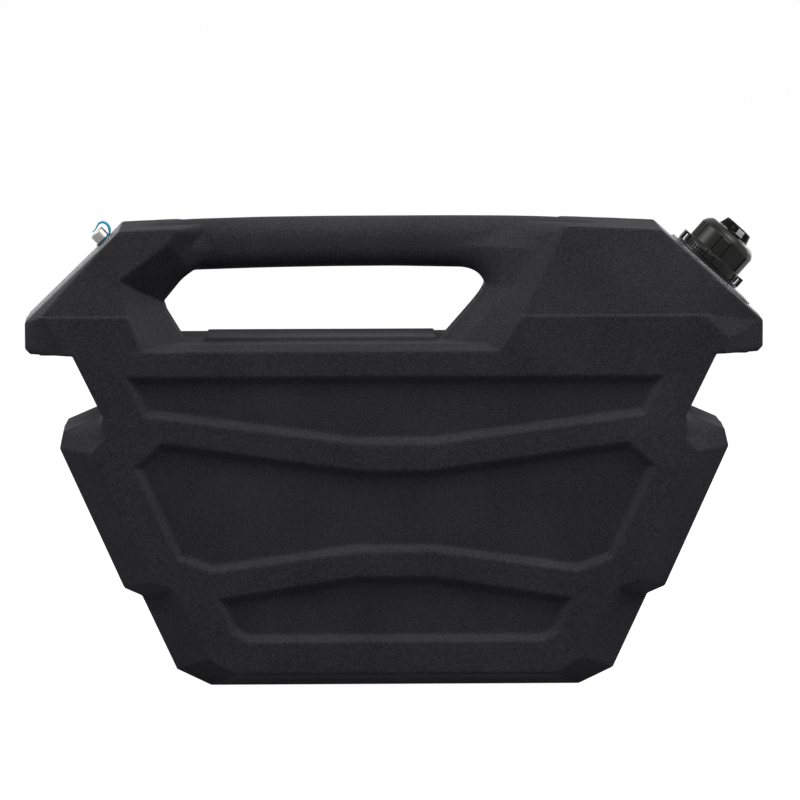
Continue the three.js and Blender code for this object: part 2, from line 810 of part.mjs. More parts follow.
// Plug that closes the neck's mouth, bored for the vent seat
function ventPlug() {
  const body = turned([
    [0, ventFlangeLow],
    [neckTubeRadius, ventFlangeLow],
    [neckTubeRadius, ventFlangeLow + ventFlangeHeight],
    [ventNeckRadius, ventFlangeLow + ventFlangeHeight],
    [ventNeckRadius, ventNeckTop],
    [0, ventNeckTop],
  ]);
  const seatBoreRadius = ventSeatStemRadius + seatGap;
  const seatBore = rod(seatBoreRadius, ventSeatLow - seatGap, ventNeckTop + cutOverrun, smallSides);
  const airBore = rod(ventHoleRadius, ventFlangeLow - cutOverrun, ventSeatLow, smallSides);
  return cut(body, [seatBore, airBore]);
}

// Seat pressed into the plug, with the air hole through it
function ventSeat() {
  return turned([
    [ventHoleRadius, ventSeatLow],
    [ventSeatStemRadius, ventSeatLow],
    [ventSeatStemRadius, ventNeckTop + seatGap],
    [ventSeatRadius, ventNeckTop + seatGap],
    [ventSeatRadius, ventSeatTop],
    [ventHoleRadius, ventSeatTop],
  ], smallSides);
}

// Flap under the plug, held by a stem through the plug's air hole
function ventFlap() {
  const low = ventFlangeLow - seatGap - ventFlapHeight;
  return join([
    rod(ventFlapRadius, low, low + ventFlapHeight, smallSides),
    rod(ventStemRadius, low, low + ventFlapHeight + ventStemHeight, smallSides),
  ]);
}

function ventSealRing() {
  const centre = ventSeatRadius + seatGap + ventRingRadius;
  const height = ventNeckTop + seatGap + ventRingRadius;
  const section = circle(ventRingRadius, strapSides).map((p) => [centre + p.x, height + p.y]);
  return turned(section, smallSides);
}

function ventKnob() {
  const inner = ventSeatRadius + 2 * (seatGap + ventRingRadius);
  const cup = turned([
    [inner, knobLow],
    [ventKnobRadius, knobLow],
    [ventKnobRadius, knobLow + ventKnobHeight / 3],
    [ventKnobTopRadius, knobTop],
    [0, knobTop],
    [0, knobTop - ventKnobWall + seatGap],
    [inner, knobTop - ventKnobWall + seatGap],
  ]);
  const windowHeight = ventKnobHeight - ventKnobWall - seatGap;
  const windows = Array.from({ length: ventKnobWindows }, (_, i) => {
    const opening = new THREE.BoxGeometry(ventKnobRadius * 2, ventKnobWindowWidth, windowHeight);
    opening.translate(ventKnobRadius, 0, knobLow + windowHeight / 2 - seatGap);
    return solidOf(opening.rotateZ(ventKnobTurn + (2 * Math.PI * i) / ventKnobWindows));
  });
  return cut(cup, windows);
}

// Heights of the outlet above the slope
const strapLow = seatGap;
const headLow = strapLow + strapThickness + seatGap;

function outletInsert() {
  const sealBore = outletStemRadius + seatGap + outletSealWidth;
  return turned([
    [outletStemRadius + seatGap, -outletInsertLength],
    [outletInsertRadius, -outletInsertLength],
    [outletInsertRadius, 0],
    [sealBore, 0],
    [sealBore, -outletSealHeight - seatGap],
    [outletStemRadius + seatGap, -outletSealHeight - seatGap],
  ], smallSides);
}

function outletSeal() {
  const outer = outletStemRadius + outletSealWidth;
  return ring(outletStemRadius + seatGap, outer, -outletSealHeight, 0, smallSides);
}

// Turned nipple: a bright head above the strap, a stem through the insert, and a fuel bore
function outletNipple() {
  const top = headLow + outletHeadHeight;
  const tubeSeat = pickupTubeRadius + seatGap;
  const stemLow = -outletStemLength;
  return turned([
    [outletBoreRadius, top],
    [outletBoreRadius, stemLow + pickupTubeRadius],
    [tubeSeat, stemLow + pickupTubeRadius],
    [tubeSeat, stemLow],
    [outletStemRadius, stemLow],
    [outletStemRadius, headLow],
    [outletHeadRadius, headLow],
    [outletHeadRadius, top - outletHeadChamfer],
    [outletHeadRadius - outletHeadChamfer, top],
  ], smallSides);
}

// Route of the pickup tube, from inside the nipple's stem to just above the floor
function pickupRoute() {
  const into = new THREE.Vector3(0, 0, -1).applyAxisAngle(acrossDepth, outletSeat.lean);
  const mouthDepth = outletStemLength - pickupTubeRadius + seatGap;
  const mouth = outletSeat.origin.clone().addScaledVector(into, mouthDepth);
  const guides = [2, 4].map((step) => mouth.clone().addScaledVector(into, pickupTubeRadius * step));
  const bends = pickupRouteShares.map((pair) => {
    const point = place(pair);
    return new THREE.Vector3(point.x, 0, point.y);
  });
  return new THREE.CatmullRomCurve3([mouth, ...guides, ...bends]);
}

function pickupTube() {
  const section = new THREE.Shape(circle(pickupTubeRadius, pickupTubeSides));
  section.holes.push(new THREE.Path(circle(pickupTubeBore, pickupTubeSides).toReversed()));
  const options = { steps: pickupTubeSteps, bevelEnabled: false, extrudePath: pickupRoute() };
  return solidOf(new THREE.ExtrudeGeometry(section, options));
}

// Slotted cup below the end of the tube, in line with it
function pickupStrainer() {
  const cup = turned([
    [0, 0],
    [strainerRadius, 0],
    [strainerRadius, strainerLength],
    [pickupTubeBore, strainerLength],
    [pickupTubeBore, strainerLength - strainerWall],
    [strainerRadius - strainerWall, strainerLength - strainerWall],
    [strainerRadius - strainerWall, strainerWall],
    [0, strainerWall],
  ], smallSides);
  const slots = Array.from({ length: strainerSlots }, (_, i) => {
    const slot = new THREE.BoxGeometry(strainerRadius * 2, strainerSlotWidth, strainerSlotLength);
    slot.translate(strainerRadius, 0, strainerLength / 2);
    return solidOf(slot.rotateZ((2 * Math.PI * i) / strainerSlots));
  });
  return cut(cup, slots);
}

// Ring round the nipple with a tapering strap that curls up and over its mouth
function retainingStrap() {
  const inner = outletStemRadius + seatGap;
  const band = ring(inner, inner + strapRingWidth, strapLow, strapLow + strapThickness, smallSides);
  const centre = strapLow + strapThickness / 2;
  const points = strapCurlShares.map(([reach, height]) => {
    return new THREE.Vector3(reach * strapCurlReach, 0, centre + height * strapCurlHeight);
  });
  const curve = new THREE.CatmullRomCurve3(points);
  const sections = Array.from({ length: strapSteps + 1 }, (_, s) => {
    const along = s / strapSteps;
    const point = curve.getPoint(along);
    const heading = curve.getTangent(along);
    const taper = THREE.MathUtils.lerp(1, strapTailShare, along);
    return circle(strapThickness / 2, strapSides).map((p) => {
      const across = new THREE.Vector3(-heading.z, 0, heading.x).multiplyScalar(p.x * taper);
      across.y = (p.y * taper * strapWidth) / strapThickness;
      return across.add(point);
    });
  });
  return join([band, swept(sections)]);
}

// Finishes
function finish(color, roughness, metalness = 0) {
  return new THREE.MeshStandardMaterial({ color, roughness, metalness });
}
const mouldedBlack = finish(0x2f2f31, 0.62);
const closureBlack = finish(0x33322f, 0.45);
const glossBlack = finish(0x1d1c1b, 0.25);
const rubberBlack = finish(0x1a1a1a, 0.85);
const ventGrey = finish(0xb9bcbb, 0.4);
const satinMetal = finish(0xd8d7d6, 0.3, 1);
const brass = finish(0xb08d57, 0.35, 1);
const tealPlastic = finish(0x2085a5, 0.4);
const tubeBlack = finish(0x242424, 0.6);

function piece(name, solid, material) {
  const mesh = new THREE.Mesh(geometryOf(solid), material);
  mesh.name = name;
  return mesh;
}

// A fitting stands on its pad, with its axis square to the slope
function fitting(seat, padHeight, pieces) {
  const group = new THREE.Group();
  const axis = new THREE.Vector3(0, 0, 1).applyAxisAngle(acrossDepth, seat.lean);
  group.position.copy(seat.origin).addScaledVector(axis, padHeight);
  group.rotation.y = seat.lean;
  group.add(...pieces);
  return group;
}

const tank = new THREE.Group();
tank.add(piece('tank_shell', tankShell(), mouldedBlack));
tank.add(fitting(neckSeat, neckPadHeight, [
  piece('neck_gasket', neckGasket(), rubberBlack),
  piece('filler_neck', fillerNeck(), closureBlack),
  piece('locking_collar', lockingCollar(), closureBlack),
  piece('filler_nut', fillerNut(), closureBlack),
  piece('cap_gasket', capGasket(), rubberBlack),
  piece('vent_plug', ventPlug(), closureBlack),
  piece('vent_seat', ventSeat(), ventGrey),
  piece('vent_flap', ventFlap(), rubberBlack),
  piece('vent_seal_ring', ventSealRing(), rubberBlack),
  piece('vent_knob', ventKnob(), glossBlack),
]));
tank.add(fitting(outletSeat, 0, [
  piece('outlet_insert', outletInsert(), brass),
  piece('outlet_seal', outletSeal(), rubberBlack),
  piece('outlet_nipple', outletNipple(), satinMetal),
  piece('retaining_strap', retainingStrap(), tealPlastic),
]));
tank.add(piece('pickup_tube', pickupTube(), tubeBlack));

// The strainer hangs on the tube's lower end, square to it
const tubeEnd = pickupRoute().getPoint(1);
const tubeHeading = pickupRoute().getTangent(1);
const strainer = piece('pickup_strainer', pickupStrainer(), satinMetal);
strainer.quaternion.setFromUnitVectors(new THREE.Vector3(0, 0, 1), tubeHeading.clone().negate());
strainer.position.copy(tubeEnd).addScaledVector(tubeHeading, strainerLength + seatGap);
tank.add(strainer);

export default tank;
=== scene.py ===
# %% [markdown]
# A portable diesel tank, moulded in black plastic, with a screw closure on its right slope and
# a fuel outlet on its left one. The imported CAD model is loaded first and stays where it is.
# What follows gives each of its pieces its finish, and replaces the pieces whose moulded
# edges, teeth and ribs need more detail than the solids carry.

import itertools
import math

import bpy
import numpy as np
from mathutils import Matrix, Vector


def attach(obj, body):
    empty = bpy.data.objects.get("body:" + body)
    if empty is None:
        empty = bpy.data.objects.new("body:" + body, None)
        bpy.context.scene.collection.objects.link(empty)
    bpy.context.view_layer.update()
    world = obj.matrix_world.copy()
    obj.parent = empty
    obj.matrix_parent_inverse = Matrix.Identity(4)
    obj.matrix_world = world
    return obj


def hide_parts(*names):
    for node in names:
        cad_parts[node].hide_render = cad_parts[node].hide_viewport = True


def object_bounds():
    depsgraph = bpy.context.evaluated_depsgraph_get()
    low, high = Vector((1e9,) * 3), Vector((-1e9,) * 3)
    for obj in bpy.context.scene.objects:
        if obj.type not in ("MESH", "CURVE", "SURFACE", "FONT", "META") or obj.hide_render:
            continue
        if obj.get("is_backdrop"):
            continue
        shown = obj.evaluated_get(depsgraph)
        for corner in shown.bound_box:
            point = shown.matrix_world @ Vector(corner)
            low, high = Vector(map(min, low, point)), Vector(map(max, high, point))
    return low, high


MM = 0.001

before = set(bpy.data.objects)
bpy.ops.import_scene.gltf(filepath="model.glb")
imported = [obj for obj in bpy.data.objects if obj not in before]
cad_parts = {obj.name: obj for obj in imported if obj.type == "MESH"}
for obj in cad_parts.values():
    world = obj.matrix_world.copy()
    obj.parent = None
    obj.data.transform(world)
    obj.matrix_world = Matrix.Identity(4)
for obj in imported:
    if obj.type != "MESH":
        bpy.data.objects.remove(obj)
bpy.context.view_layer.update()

# %% [markdown]
# The photograph was taken from far away with a long lens, a little above the tank. A far
# camera keeps the tank's sides parallel, so the lens is long here too, and a small shift puts
# the tank where the photograph has it.

# %% Camera
SENSOR = 36.0  # mm
TARGET = Vector((0.0, 0.0, 0.176))  # middle of the tank
DISTANCE = 4.5
ELEVATION = math.radians(6.5)
AZIMUTH = math.radians(1.0)
ROLL = math.radians(0.15)
METRES_PER_PIXEL = 0.0007732  # at the target
PICTURE = 800  # pixels across
SHIFT_RIGHT, SHIFT_UP = 0.0081, 0.0625  # shares of the picture's width
FAR_END = 100.0

back = Vector((
    -math.sin(AZIMUTH) * math.cos(ELEVATION),
    -math.cos(AZIMUTH) * math.cos(ELEVATION),
    math.sin(ELEVATION),
))
level_right = Vector((math.cos(AZIMUTH), -math.sin(AZIMUTH), 0.0))
level_up = back.cross(level_right)
right = level_right * math.cos(ROLL) - level_up * math.sin(ROLL)
up = level_right * math.sin(ROLL) + level_up * math.cos(ROLL)

camera = bpy.data.objects.new("camera", bpy.data.cameras.new("camera"))
bpy.context.scene.collection.objects.link(camera)
camera.matrix_world = Matrix.Translation(TARGET + back * DISTANCE) @ Matrix(
    (right, up, back)
).transposed().to_4x4()
camera.data.sensor_width = SENSOR
camera.data.lens = SENSOR * DISTANCE / METRES_PER_PIXEL / PICTURE
camera.data.shift_x = SHIFT_RIGHT
camera.data.shift_y = SHIFT_UP
camera.data.clip_end = FAR_END
bpy.context.scene.camera = camera
print("lens in mm:", round(camera.data.lens, 1))

# %% [markdown]
# Colours are written as they are read off a screen, in sRGB, while Blender works with linear
# light. One function turns one into the other. A second adds a shader node and fills in its
# inputs, and a third turns rows of corners and faces into a named mesh.


# %% Colours, nodes and meshes
def linear(code):
    """Linear RGBA of an sRGB hex colour: c/12.92 in the dark part, ((c+0.055)/1.055)^2.4 above."""
    channels = [int(code[i : i + 2], 16) / 255 for i in (1, 3, 5)]
    bent = [c / 12.92 if c <= 0.04045 else ((c + 0.055) / 1.055) ** 2.4 for c in channels]
    return (*bent, 1.0)


def add(tree, kind, inputs=None, **settings):
    """A new node with its settings; an input takes a value, or a link where it is a socket."""
    made = tree.nodes.new(kind)
    for name, value in settings.items():
        setattr(made, name, value)
    for name, value in (inputs or {}).items():
        if isinstance(value, bpy.types.NodeSocket):
            tree.links.new(value, made.inputs[name])
        else:
            made.inputs[name].default_value = value
    return made


def mesh_piece(name, points, faces, material, body, smooth_below):
    """A mesh object from points in millimetres, smooth across edges blunter than an angle."""
    mesh = bpy.data.meshes.new(name)
    points = np.asarray(points, float).reshape(-1, 3)
    faces = np.asarray(faces, np.int32)
    sides = faces.shape[1]
    mesh.vertices.add(len(points))
    mesh.vertices.foreach_set("co", (points * MM).astype(np.float32).ravel())
    mesh.loops.add(faces.size)
    mesh.loops.foreach_set("vertex_index", faces.ravel())
    mesh.polygons.add(len(faces))
    mesh.polygons.foreach_set("loop_start", np.arange(0, faces.size, sides, dtype=np.int32))
    mesh.update(calc_edges=True)
    mesh.validate()
    mesh.polygons.foreach_set("use_smooth", np.ones(len(mesh.polygons), bool))
    mesh.set_sharp_from_angle(angle=math.radians(smooth_below))
    mesh.materials.append(material)
    made = bpy.data.objects.new(name, mesh)
    bpy.context.scene.collection.objects.link(made)
    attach(made, body)
    print(name, len(points), "points,", len(mesh.polygons), "faces")
    return made


# %% [markdown]
# The tank is blow-moulded polyethylene. The mould is etched, so the wall has a fine leather
# grain that scatters light into small dots, and a dull sheen. A noise pattern of the grain's
# own width drives a bump, and a broad one changes the colour a little across the wall.


# %% Finish of the moulded tank
SHOULDER_HEIGHT = 350.0
CREASE = 0.8165  # height of the crease, as a share of the shoulder's
CREASE_HEIGHT = CREASE * SHOULDER_HEIGHT
# Directions out of the two slopes, and how far each slope's plane is from the frame's origin
OUTLET_AXIS, NECK_AXIS = (-0.693516, 0.0, 0.720441), (0.666342, 0.0, 0.745646)
SLOPE_PLANES = ((OUTLET_AXIS, 397.6), (NECK_AXIS, 397.0))
POLISH_START, POLISH_END = -0.6, 0.4  # mm from the plane: dull below, polished above
GRAIN_WIDTH = 0.7  # mm; the real grain is near 0.6 mm, too fine to show at this size
PATCH_WIDTH = 60.0  # mm between the lighter and darker parts of the wall
GRAIN_DEPTH = 0.6  # mm
# The last colour is a painted highlight along the crease, where its rounded edge catches the light
PIT_COLOUR, TOP_COLOUR, CREASE_HIGHLIGHT_COLOUR = "#131314", "#454549", "#505052"
HIGHLIGHT_NEAR, HIGHLIGHT_FAR = 0.2, 1.6  # mm from the crease: full painted highlight, and none
HIGHLIGHT_DEPTH = 63.2  # mm from the parting plane, past which the crease runs on the face
ROUGH_WALL, ROUGH_SLOPE = 0.75, 0.34
SHEEN_WALL, SHEEN_SLOPE = 0.025, 0.35


def etched_polyethylene():
    """Black polyethylene, blown against an etched mould: a noise of the grain's width darkens
    the pits and bumps the wall, so that it looks dry and finely speckled."""
    material = bpy.data.materials.new("etched_polyethylene")
    material.use_nodes = True
    tree = material.node_tree
    shader = tree.nodes["Principled BSDF"]
    place = add(tree, "ShaderNodeTexCoord").outputs["Object"]
    grain = add(
        tree,
        "ShaderNodeTexNoise",
        {"Vector": place, "Scale": 1 / (GRAIN_WIDTH * 2 * MM), "Detail": 3.0, "Roughness": 0.65},
    ).outputs["Fac"]
    broad = add(
        tree,
        "ShaderNodeTexNoise",
        {"Vector": place, "Scale": 1 / (PATCH_WIDTH * MM), "Detail": 2.0},
    ).outputs["Fac"]
    patches = add(
        tree, "ShaderNodeMath", {0: broad, 1: 0.4, 2: -0.35}, operation="MULTIPLY_ADD"
    ).outputs[0]
    lightness = add(
        tree, "ShaderNodeMath", {0: grain, 1: 1.3, 2: patches}, operation="MULTIPLY_ADD"
    ).outputs[0]
    tone = add(
        tree,
        "ShaderNodeMix",
        {"Factor": lightness, "A": linear(PIT_COLOUR), "B": linear(TOP_COLOUR)},
        data_type="RGBA",
    )

    # A painted highlight lies along the crease of the front and the back, grain by grain
    parts = add(tree, "ShaderNodeSeparateXYZ", {0: place})
    from_crease = add(
        tree,
        "ShaderNodeMath",
        {0: parts.outputs["Z"], 1: CREASE_HEIGHT * MM},
        operation="SUBTRACT",
    )
    off_crease = add(tree, "ShaderNodeMath", {0: from_crease.outputs[0]}, operation="ABSOLUTE")
    near_crease = add(
        tree,
        "ShaderNodeMapRange",
        {
            "Value": off_crease.outputs[0],
            "From Min": HIGHLIGHT_FAR * MM,
            "From Max": HIGHLIGHT_NEAR * MM,
            "To Max": 1.0,
        },
    )
    depth = add(tree, "ShaderNodeMath", {0: parts.outputs["Y"]}, operation="ABSOLUTE")
    on_face = add(
        tree,
        "ShaderNodeMath",
        {0: depth.outputs[0], 1: HIGHLIGHT_DEPTH * MM},
        operation="GREATER_THAN",
    )
    highlighted = near_crease.outputs["Result"]
    for mask in (on_face.outputs[0], grain):
        highlighted = add(
            tree, "ShaderNodeMath", {0: highlighted, 1: mask}, operation="MULTIPLY"
        ).outputs[0]
    with_highlight = add(
        tree,
        "ShaderNodeMix",
        {"Factor": highlighted, "A": tone.outputs["Result"], "B": linear(CREASE_HIGHLIGHT_COLOUR)},
        data_type="RGBA",
    )
    tree.links.new(with_highlight.outputs["Result"], shader.inputs["Base Color"])
    bump = add(
        tree, "ShaderNodeBump", {"Height": grain, "Strength": 0.65, "Distance": GRAIN_DEPTH * MM}
    )
    tree.links.new(bump.outputs["Normal"], shader.inputs["Normal"])

    # The two slopes were polished in the mould: the wall is smooth where it lies in their planes
    on_slope = []
    for out_of_slope, plane in SLOPE_PLANES:
        reach = add(
            tree, "ShaderNodeVectorMath", {0: place, 1: out_of_slope}, operation="DOT_PRODUCT"
        )
        polish = add(
            tree,
            "ShaderNodeMapRange",
            {
                "Value": reach.outputs["Value"],
                "From Min": (plane + POLISH_START) * MM,
                "From Max": (plane + POLISH_END) * MM,
            },
        )
        on_slope.append(polish.outputs["Result"])
    polished = add(
        tree, "ShaderNodeMath", {0: on_slope[0], 1: on_slope[1]}, operation="MAXIMUM"
    ).outputs[0]
    for socket, wall, slope in (
        ("Roughness", ROUGH_WALL, ROUGH_SLOPE),
        ("Specular IOR Level", SHEEN_WALL, SHEEN_SLOPE),
    ):
        spread = add(
            tree, "ShaderNodeMapRange", {"Value": polished, "To Min": wall, "To Max": slope}
        )
        tree.links.new(spread.outputs["Result"], shader.inputs[socket])
    return material


tank_plastic = etched_polyethylene()


# %% [markdown]
# The closure is injection-moulded nylon, smoother than the tank. The knob is a glossier
# plastic, the seals are rubber, and the nipple is turned metal. These finishes share one
# build: a base colour, a small bump of the surface's own width, and a sheen.


# %% Finishes of the fittings
def fitting_finish(name, code, roughness, width, depth, specular=0.5, metallic=0.0):
    """Moulded or turned finish: a noise of the surface's own width, in mm, drives a bump of a
    depth in mm, while the colour, the roughness and the sheen are even."""
    material = bpy.data.materials.new(name)
    material.use_nodes = True
    tree = material.node_tree
    shader = tree.nodes["Principled BSDF"]
    shader.inputs["Base Color"].default_value = linear(code)
    shader.inputs["Roughness"].default_value = roughness
    shader.inputs["Metallic"].default_value = metallic
    shader.inputs["Specular IOR Level"].default_value = specular
    place = add(tree, "ShaderNodeTexCoord").outputs["Object"]
    fine = add(
        tree, "ShaderNodeTexNoise", {"Vector": place, "Scale": 1 / (width * 2 * MM), "Detail": 3.0}
    )
    bump = add(
        tree,
        "ShaderNodeBump",
        {"Height": fine.outputs["Fac"], "Strength": 0.5, "Distance": depth * MM},
    )
    tree.links.new(bump.outputs["Normal"], shader.inputs["Normal"])
    return material


# Injection-moulded nylon is near black with a satin sheen, and moulded acetal is smoother, with
# small sharp highlights. Undyed acetal is pale grey. Nitrile rubber is dull.
closure_nylon = fitting_finish("moulded_nylon", "#141312", 0.36, 0.8, 0.04, specular=0.16)
knob_acetal = fitting_finish("glossy_acetal", "#080807", 0.25, 0.8, 0.01, specular=0.06)
vent_acetal = fitting_finish("grey_acetal", "#939594", 0.35, 0.6, 0.01)
seal_rubber = fitting_finish("nitrile_rubber", "#191919", 0.7, 0.4, 0.04, specular=0.3)
# Extruded nylon tube is smooth and dark grey
tube_nylon = fitting_finish("extruded_nylon", "#232323", 0.45, 0.7, 0.02)
# Turned steel is bright and blurs what it mirrors; plated brass is a little warmer and duller
nipple_steel = fitting_finish("turned_steel", "#9c9a97", 0.42, 0.3, 0.01, metallic=1.0)
insert_brass = fitting_finish("plated_brass", "#86847f", 0.5, 0.3, 0.01, metallic=1.0)
# Cast polyurethane keeps a clear, slightly glossy teal; its darker copy is painted shade, for the
# part that lies in the shade
strap_teal = fitting_finish("teal_polyurethane", "#1b9dbf", 0.32, 0.8, 0.02, specular=0.3)
strap_shade = fitting_finish("teal_with_painted_shade", "#0a4a6c", 0.45, 0.8, 0.03, specular=0.2)
print("finishes:", [material.name for material in bpy.data.materials])

# %% [markdown]
# The body is one hollow moulding. Its front view is an outline of straight runs, drawn here as
# shares of half the width and of the shoulder's height, just as in the CAD source. The side
# outline holds as far as 45 mm from the parting line, and then slopes in to the outline of the
# front face.

# %% Outlines of the body
HALF_WIDTH, SIDE_HALF_WIDTH = 282.9, 281.9  # at the parting line, and at SIDE_DEPTH
HALF_DEPTH, SIDE_DEPTH = 65.0, 45.0
CROWN_RISE = 5.2  # of the arched top over the shoulders
TOP_INSET = 11.0  # how far the face leans back at the shoulder's height
LEAN_RATE = TOP_INSET / (SHOULDER_HEIGHT - CREASE_HEIGHT)
LEFT_SHOULDER, RIGHT_SHOULDER = -0.7435, 0.7237
EAR_TOP, EAR_BOTTOM = 0.8, 0.731
EAR_ROUND, EAR_FACE_ROUND = 0.012, 0.006  # height of the ear's clipped lower corner
SLOPE_CORNER = 0.557  # share of the right slope's length at which the face's corner lies

# From the ear's underside down to the base: side x, side z, face x, face z
flank = np.array([
    (0.870, 0.731, 0.870, 0.731),
    (0.790, 0.599, 0.790, 0.599),
    (0.897, 0.562, 0.787, 0.548),
    (0.908, 0.524, 0.821, 0.5195),
    (0.736, 0.216, 0.666, 0.233),
    (0.688, 0.199, 0.603, 0.217),
    (0.594, 0.036, 0.511, 0.064),
    (0.501, 0.000, 0.436, 0.031),
])
mirror_x = np.array([-1, 1, -1, 1])


def between(a, b, share):
    """The point a share of the way from a to b: a + share (b - a)."""
    return np.asarray(a) + share * (np.asarray(b) - np.asarray(a))


shoulder_left, shoulder_right = (LEFT_SHOULDER, 1.0), (RIGHT_SHOULDER, 1.0)
ear_left, ear_right = (-1.0, EAR_TOP), (1.0, EAR_TOP)
slope_right = between(shoulder_right, ear_right, SLOPE_CORNER)
# From the left shoulder, anticlockwise, to the right one: side x, side z, face x, face z
top_rows = [
    (*shoulder_left, *shoulder_left),
    (*ear_left, -0.955, CREASE),
    (-1.0, EAR_BOTTOM + EAR_ROUND, -0.889, EAR_BOTTOM + EAR_FACE_ROUND),
    (-0.986, EAR_BOTTOM, -0.884, EAR_BOTTOM),
    *(flank * mirror_x),
    *flank[::-1],
    (0.986, EAR_BOTTOM, 0.888, EAR_BOTTOM),
    (1.0, EAR_BOTTOM + EAR_ROUND, 0.893, EAR_BOTTOM + EAR_FACE_ROUND),
    (*ear_right, 0.9025, 0.7655),
    (*ear_right, 0.837, CREASE),
    (*ear_right, *slope_right),
    (*shoulder_right, *shoulder_right),
]


def crown_height(x):
    """Height of the arched top edge in mm: a parabola over the shoulders."""
    low, high = LEFT_SHOULDER * SIDE_HALF_WIDTH, RIGHT_SHOULDER * SIDE_HALF_WIDTH
    across = 2 * (x - low) / (high - low) - 1
    return SHOULDER_HEIGHT + CROWN_RISE * np.maximum(1 - across**2, 0)


ARC_STEPS = 24
arc_x = np.linspace(RIGHT_SHOULDER, LEFT_SHOULDER, ARC_STEPS + 1)[1:-1]
arc_z = crown_height(arc_x * SIDE_HALF_WIDTH) / SHOULDER_HEIGHT
outline_rows = np.vstack([top_rows, np.stack([arc_x, arc_z, arc_x, arc_z], axis=1)])


def in_mm(pairs, half=HALF_WIDTH):
    """Shares turned to mm: x times half the width, z times the shoulder's height."""
    return np.asarray(pairs, float) * (half, SHOULDER_HEIGHT)


def face_depth(z):
    """Depth of the front face: level below the crease, leaning back above it."""
    return HALF_DEPTH - np.maximum(z - CREASE_HEIGHT, 0) * LEAN_RATE


print("outline corners:", len(outline_rows))

# %% [markdown]
# The window under the handle is a hole with a flared mouth, and the front and back carry three
# shallow panels. The handle bar is a rounded section that changes along its length, and grows
# into the shoulders at both ends.

# %% Window
# Each corner's x and z at the mouth on the face, at the bevel, and at the hole
window = np.array([
    (-0.749, 0.900, -0.690, 0.866, -0.625, 0.837),
    (-0.720, 0.8155, -0.668, 0.8155, -0.617, 0.8155),
    (-0.680, 0.754, -0.625, 0.754, -0.571, 0.754),
    (0.284, 0.754, 0.181, 0.754, 0.132, 0.754),
    (0.347, 0.8155, 0.253, 0.8155, 0.199, 0.8155),
    (0.386, 0.871, 0.320, 0.871, 0.258, 0.871),
    (0.518, 1.070, 0.503, 1.070, 0.292, 1.070),
    (-0.528, 1.070, -0.503, 1.070, -0.458, 1.070),
    (-0.620, 0.989, -0.584, 0.950, -0.555, 0.906),
])
HOLE_DEPTH, BEVEL_DEPTH, LIP_DEPTH = 16.0, 40.0, 57.0  # mm from the parting plane
LIP_SHARE = 0.32  # of the way from the mouth to the bevel
DECK_HEIGHT = 0.754 * SHOULDER_HEIGHT  # the window's level floor
DECK_LIP_DROP = 5.0  # by which the deck's front edge is rounded down
window_face, window_bevel, window_hole = (in_mm(window[:, i : i + 2]) for i in (0, 2, 4))
window_lip = between(window_face, window_bevel, LIP_SHARE)
on_deck = np.abs(window_face[:, 1] - DECK_HEIGHT) < 1
window_mouth = window_face - np.outer(on_deck, (0, DECK_LIP_DROP))
window_rings = np.stack(
    [window_hole, window_hole, window_bevel, window_lip, window_mouth, window_mouth]
)
window_depths = np.array([0, HOLE_DEPTH, BEVEL_DEPTH, LIP_DEPTH, HALF_DEPTH, 2 * HALF_DEPTH])
print("window rings at depths of", window_depths, "mm")

# %% Panels and handle bar
# Left half of each recess's outline; the right half mirrors it
panel_halves = [
    [(-0.7253, 0.6845), (-0.678, 0.599), (-0.103, 0.536)],
    [
        (-0.091, 0.478), (-0.631, 0.540), (-0.704, 0.486), (-0.590, 0.284), (-0.493, 0.255),
        (-0.102, 0.300),
    ],
    [(-0.102, 0.2453), (-0.480, 0.197), (-0.443, 0.121), (-0.401, 0.102)],
]
panels = [in_mm(half + [(-x, z) for x, z in half[::-1]]) for half in panel_halves]
RECESS_DEPTH = 5.0
RECESS_RUN = 5.5  # width of the recess's sloped side

# Handle bar, in mm: x, half depth, height, height of its top above the ground
bar = np.array([
    (-206, 20.0, 33.0, 348.5),
    (-192, 20.0, 34.5, 351.8),
    (-178, 20.0, 36.8, 353.9),
    (-165, 20.0, 38.6, 355.0),
    (-150, 20.5, 39.0, 355.7),
    (-130, 21.0, 38.9, 356.2),
    (-100, 21.0, 38.8, 357.0),
    (-50, 21.0, 38.5, 357.5),
    (0, 21.0, 38.4, 357.6),
    (45, 21.0, 39.3, 357.6),
    (85, 21.0, 39.8, 357.3),
    (112, 21.0, 39.6, 356.7),
    (132, 21.0, 38.8, 355.8),
    (152, 20.0, 36.5, 353.8),
    (172, 20.0, 33.0, 349.0),
])
BAR_POWER = 2 / 0.72  # of the bar's section: 2 is an ellipse, and more is squarer
BAR_HALF = 18.0  # about half the bar's thickness
BAR_MIDDLE, BAR_REACH = (bar[0, 0] + bar[-1, 0]) / 2, (bar[-1, 0] - bar[0, 0]) / 2
print("bar:", 2 * BAR_REACH, "mm long")

# %% [markdown]
# A moulding has no sharp edge anywhere, and its runs meet in rounded corners of every angle.
# One way to draw that is to bevel a mesh edge by edge. The way chosen here is a field: each
# point of a fine lattice holds its distance to the surface, below zero inside. The sharp form
# is the greatest or least of simple distances, and averaging the lattice over about a
# millimetre rounds each edge while the flat runs stay where they are.

# %% Lattice and distances
STEP = 1.2  # mm between lattice points
LAYERS = 58  # from the parting plane to past the face
LATTICE_REACH, LATTICE_LOW, LATTICE_HIGH = 291.0, -7.5, 364.6
EDGE_SOFTNESS = 0.45  # mm, width of the averaging: an edge comes out with a radius near 1 mm
lattice_x = np.arange(-LATTICE_REACH, LATTICE_REACH + 0.1, STEP)
lattice_y = (np.arange(LAYERS) + 0.5) * STEP
lattice_z = np.arange(LATTICE_LOW, LATTICE_HIGH, STEP)
flat_x, flat_z = np.meshgrid(
    lattice_x.astype(np.float32), lattice_z.astype(np.float32), indexing="ij"
)


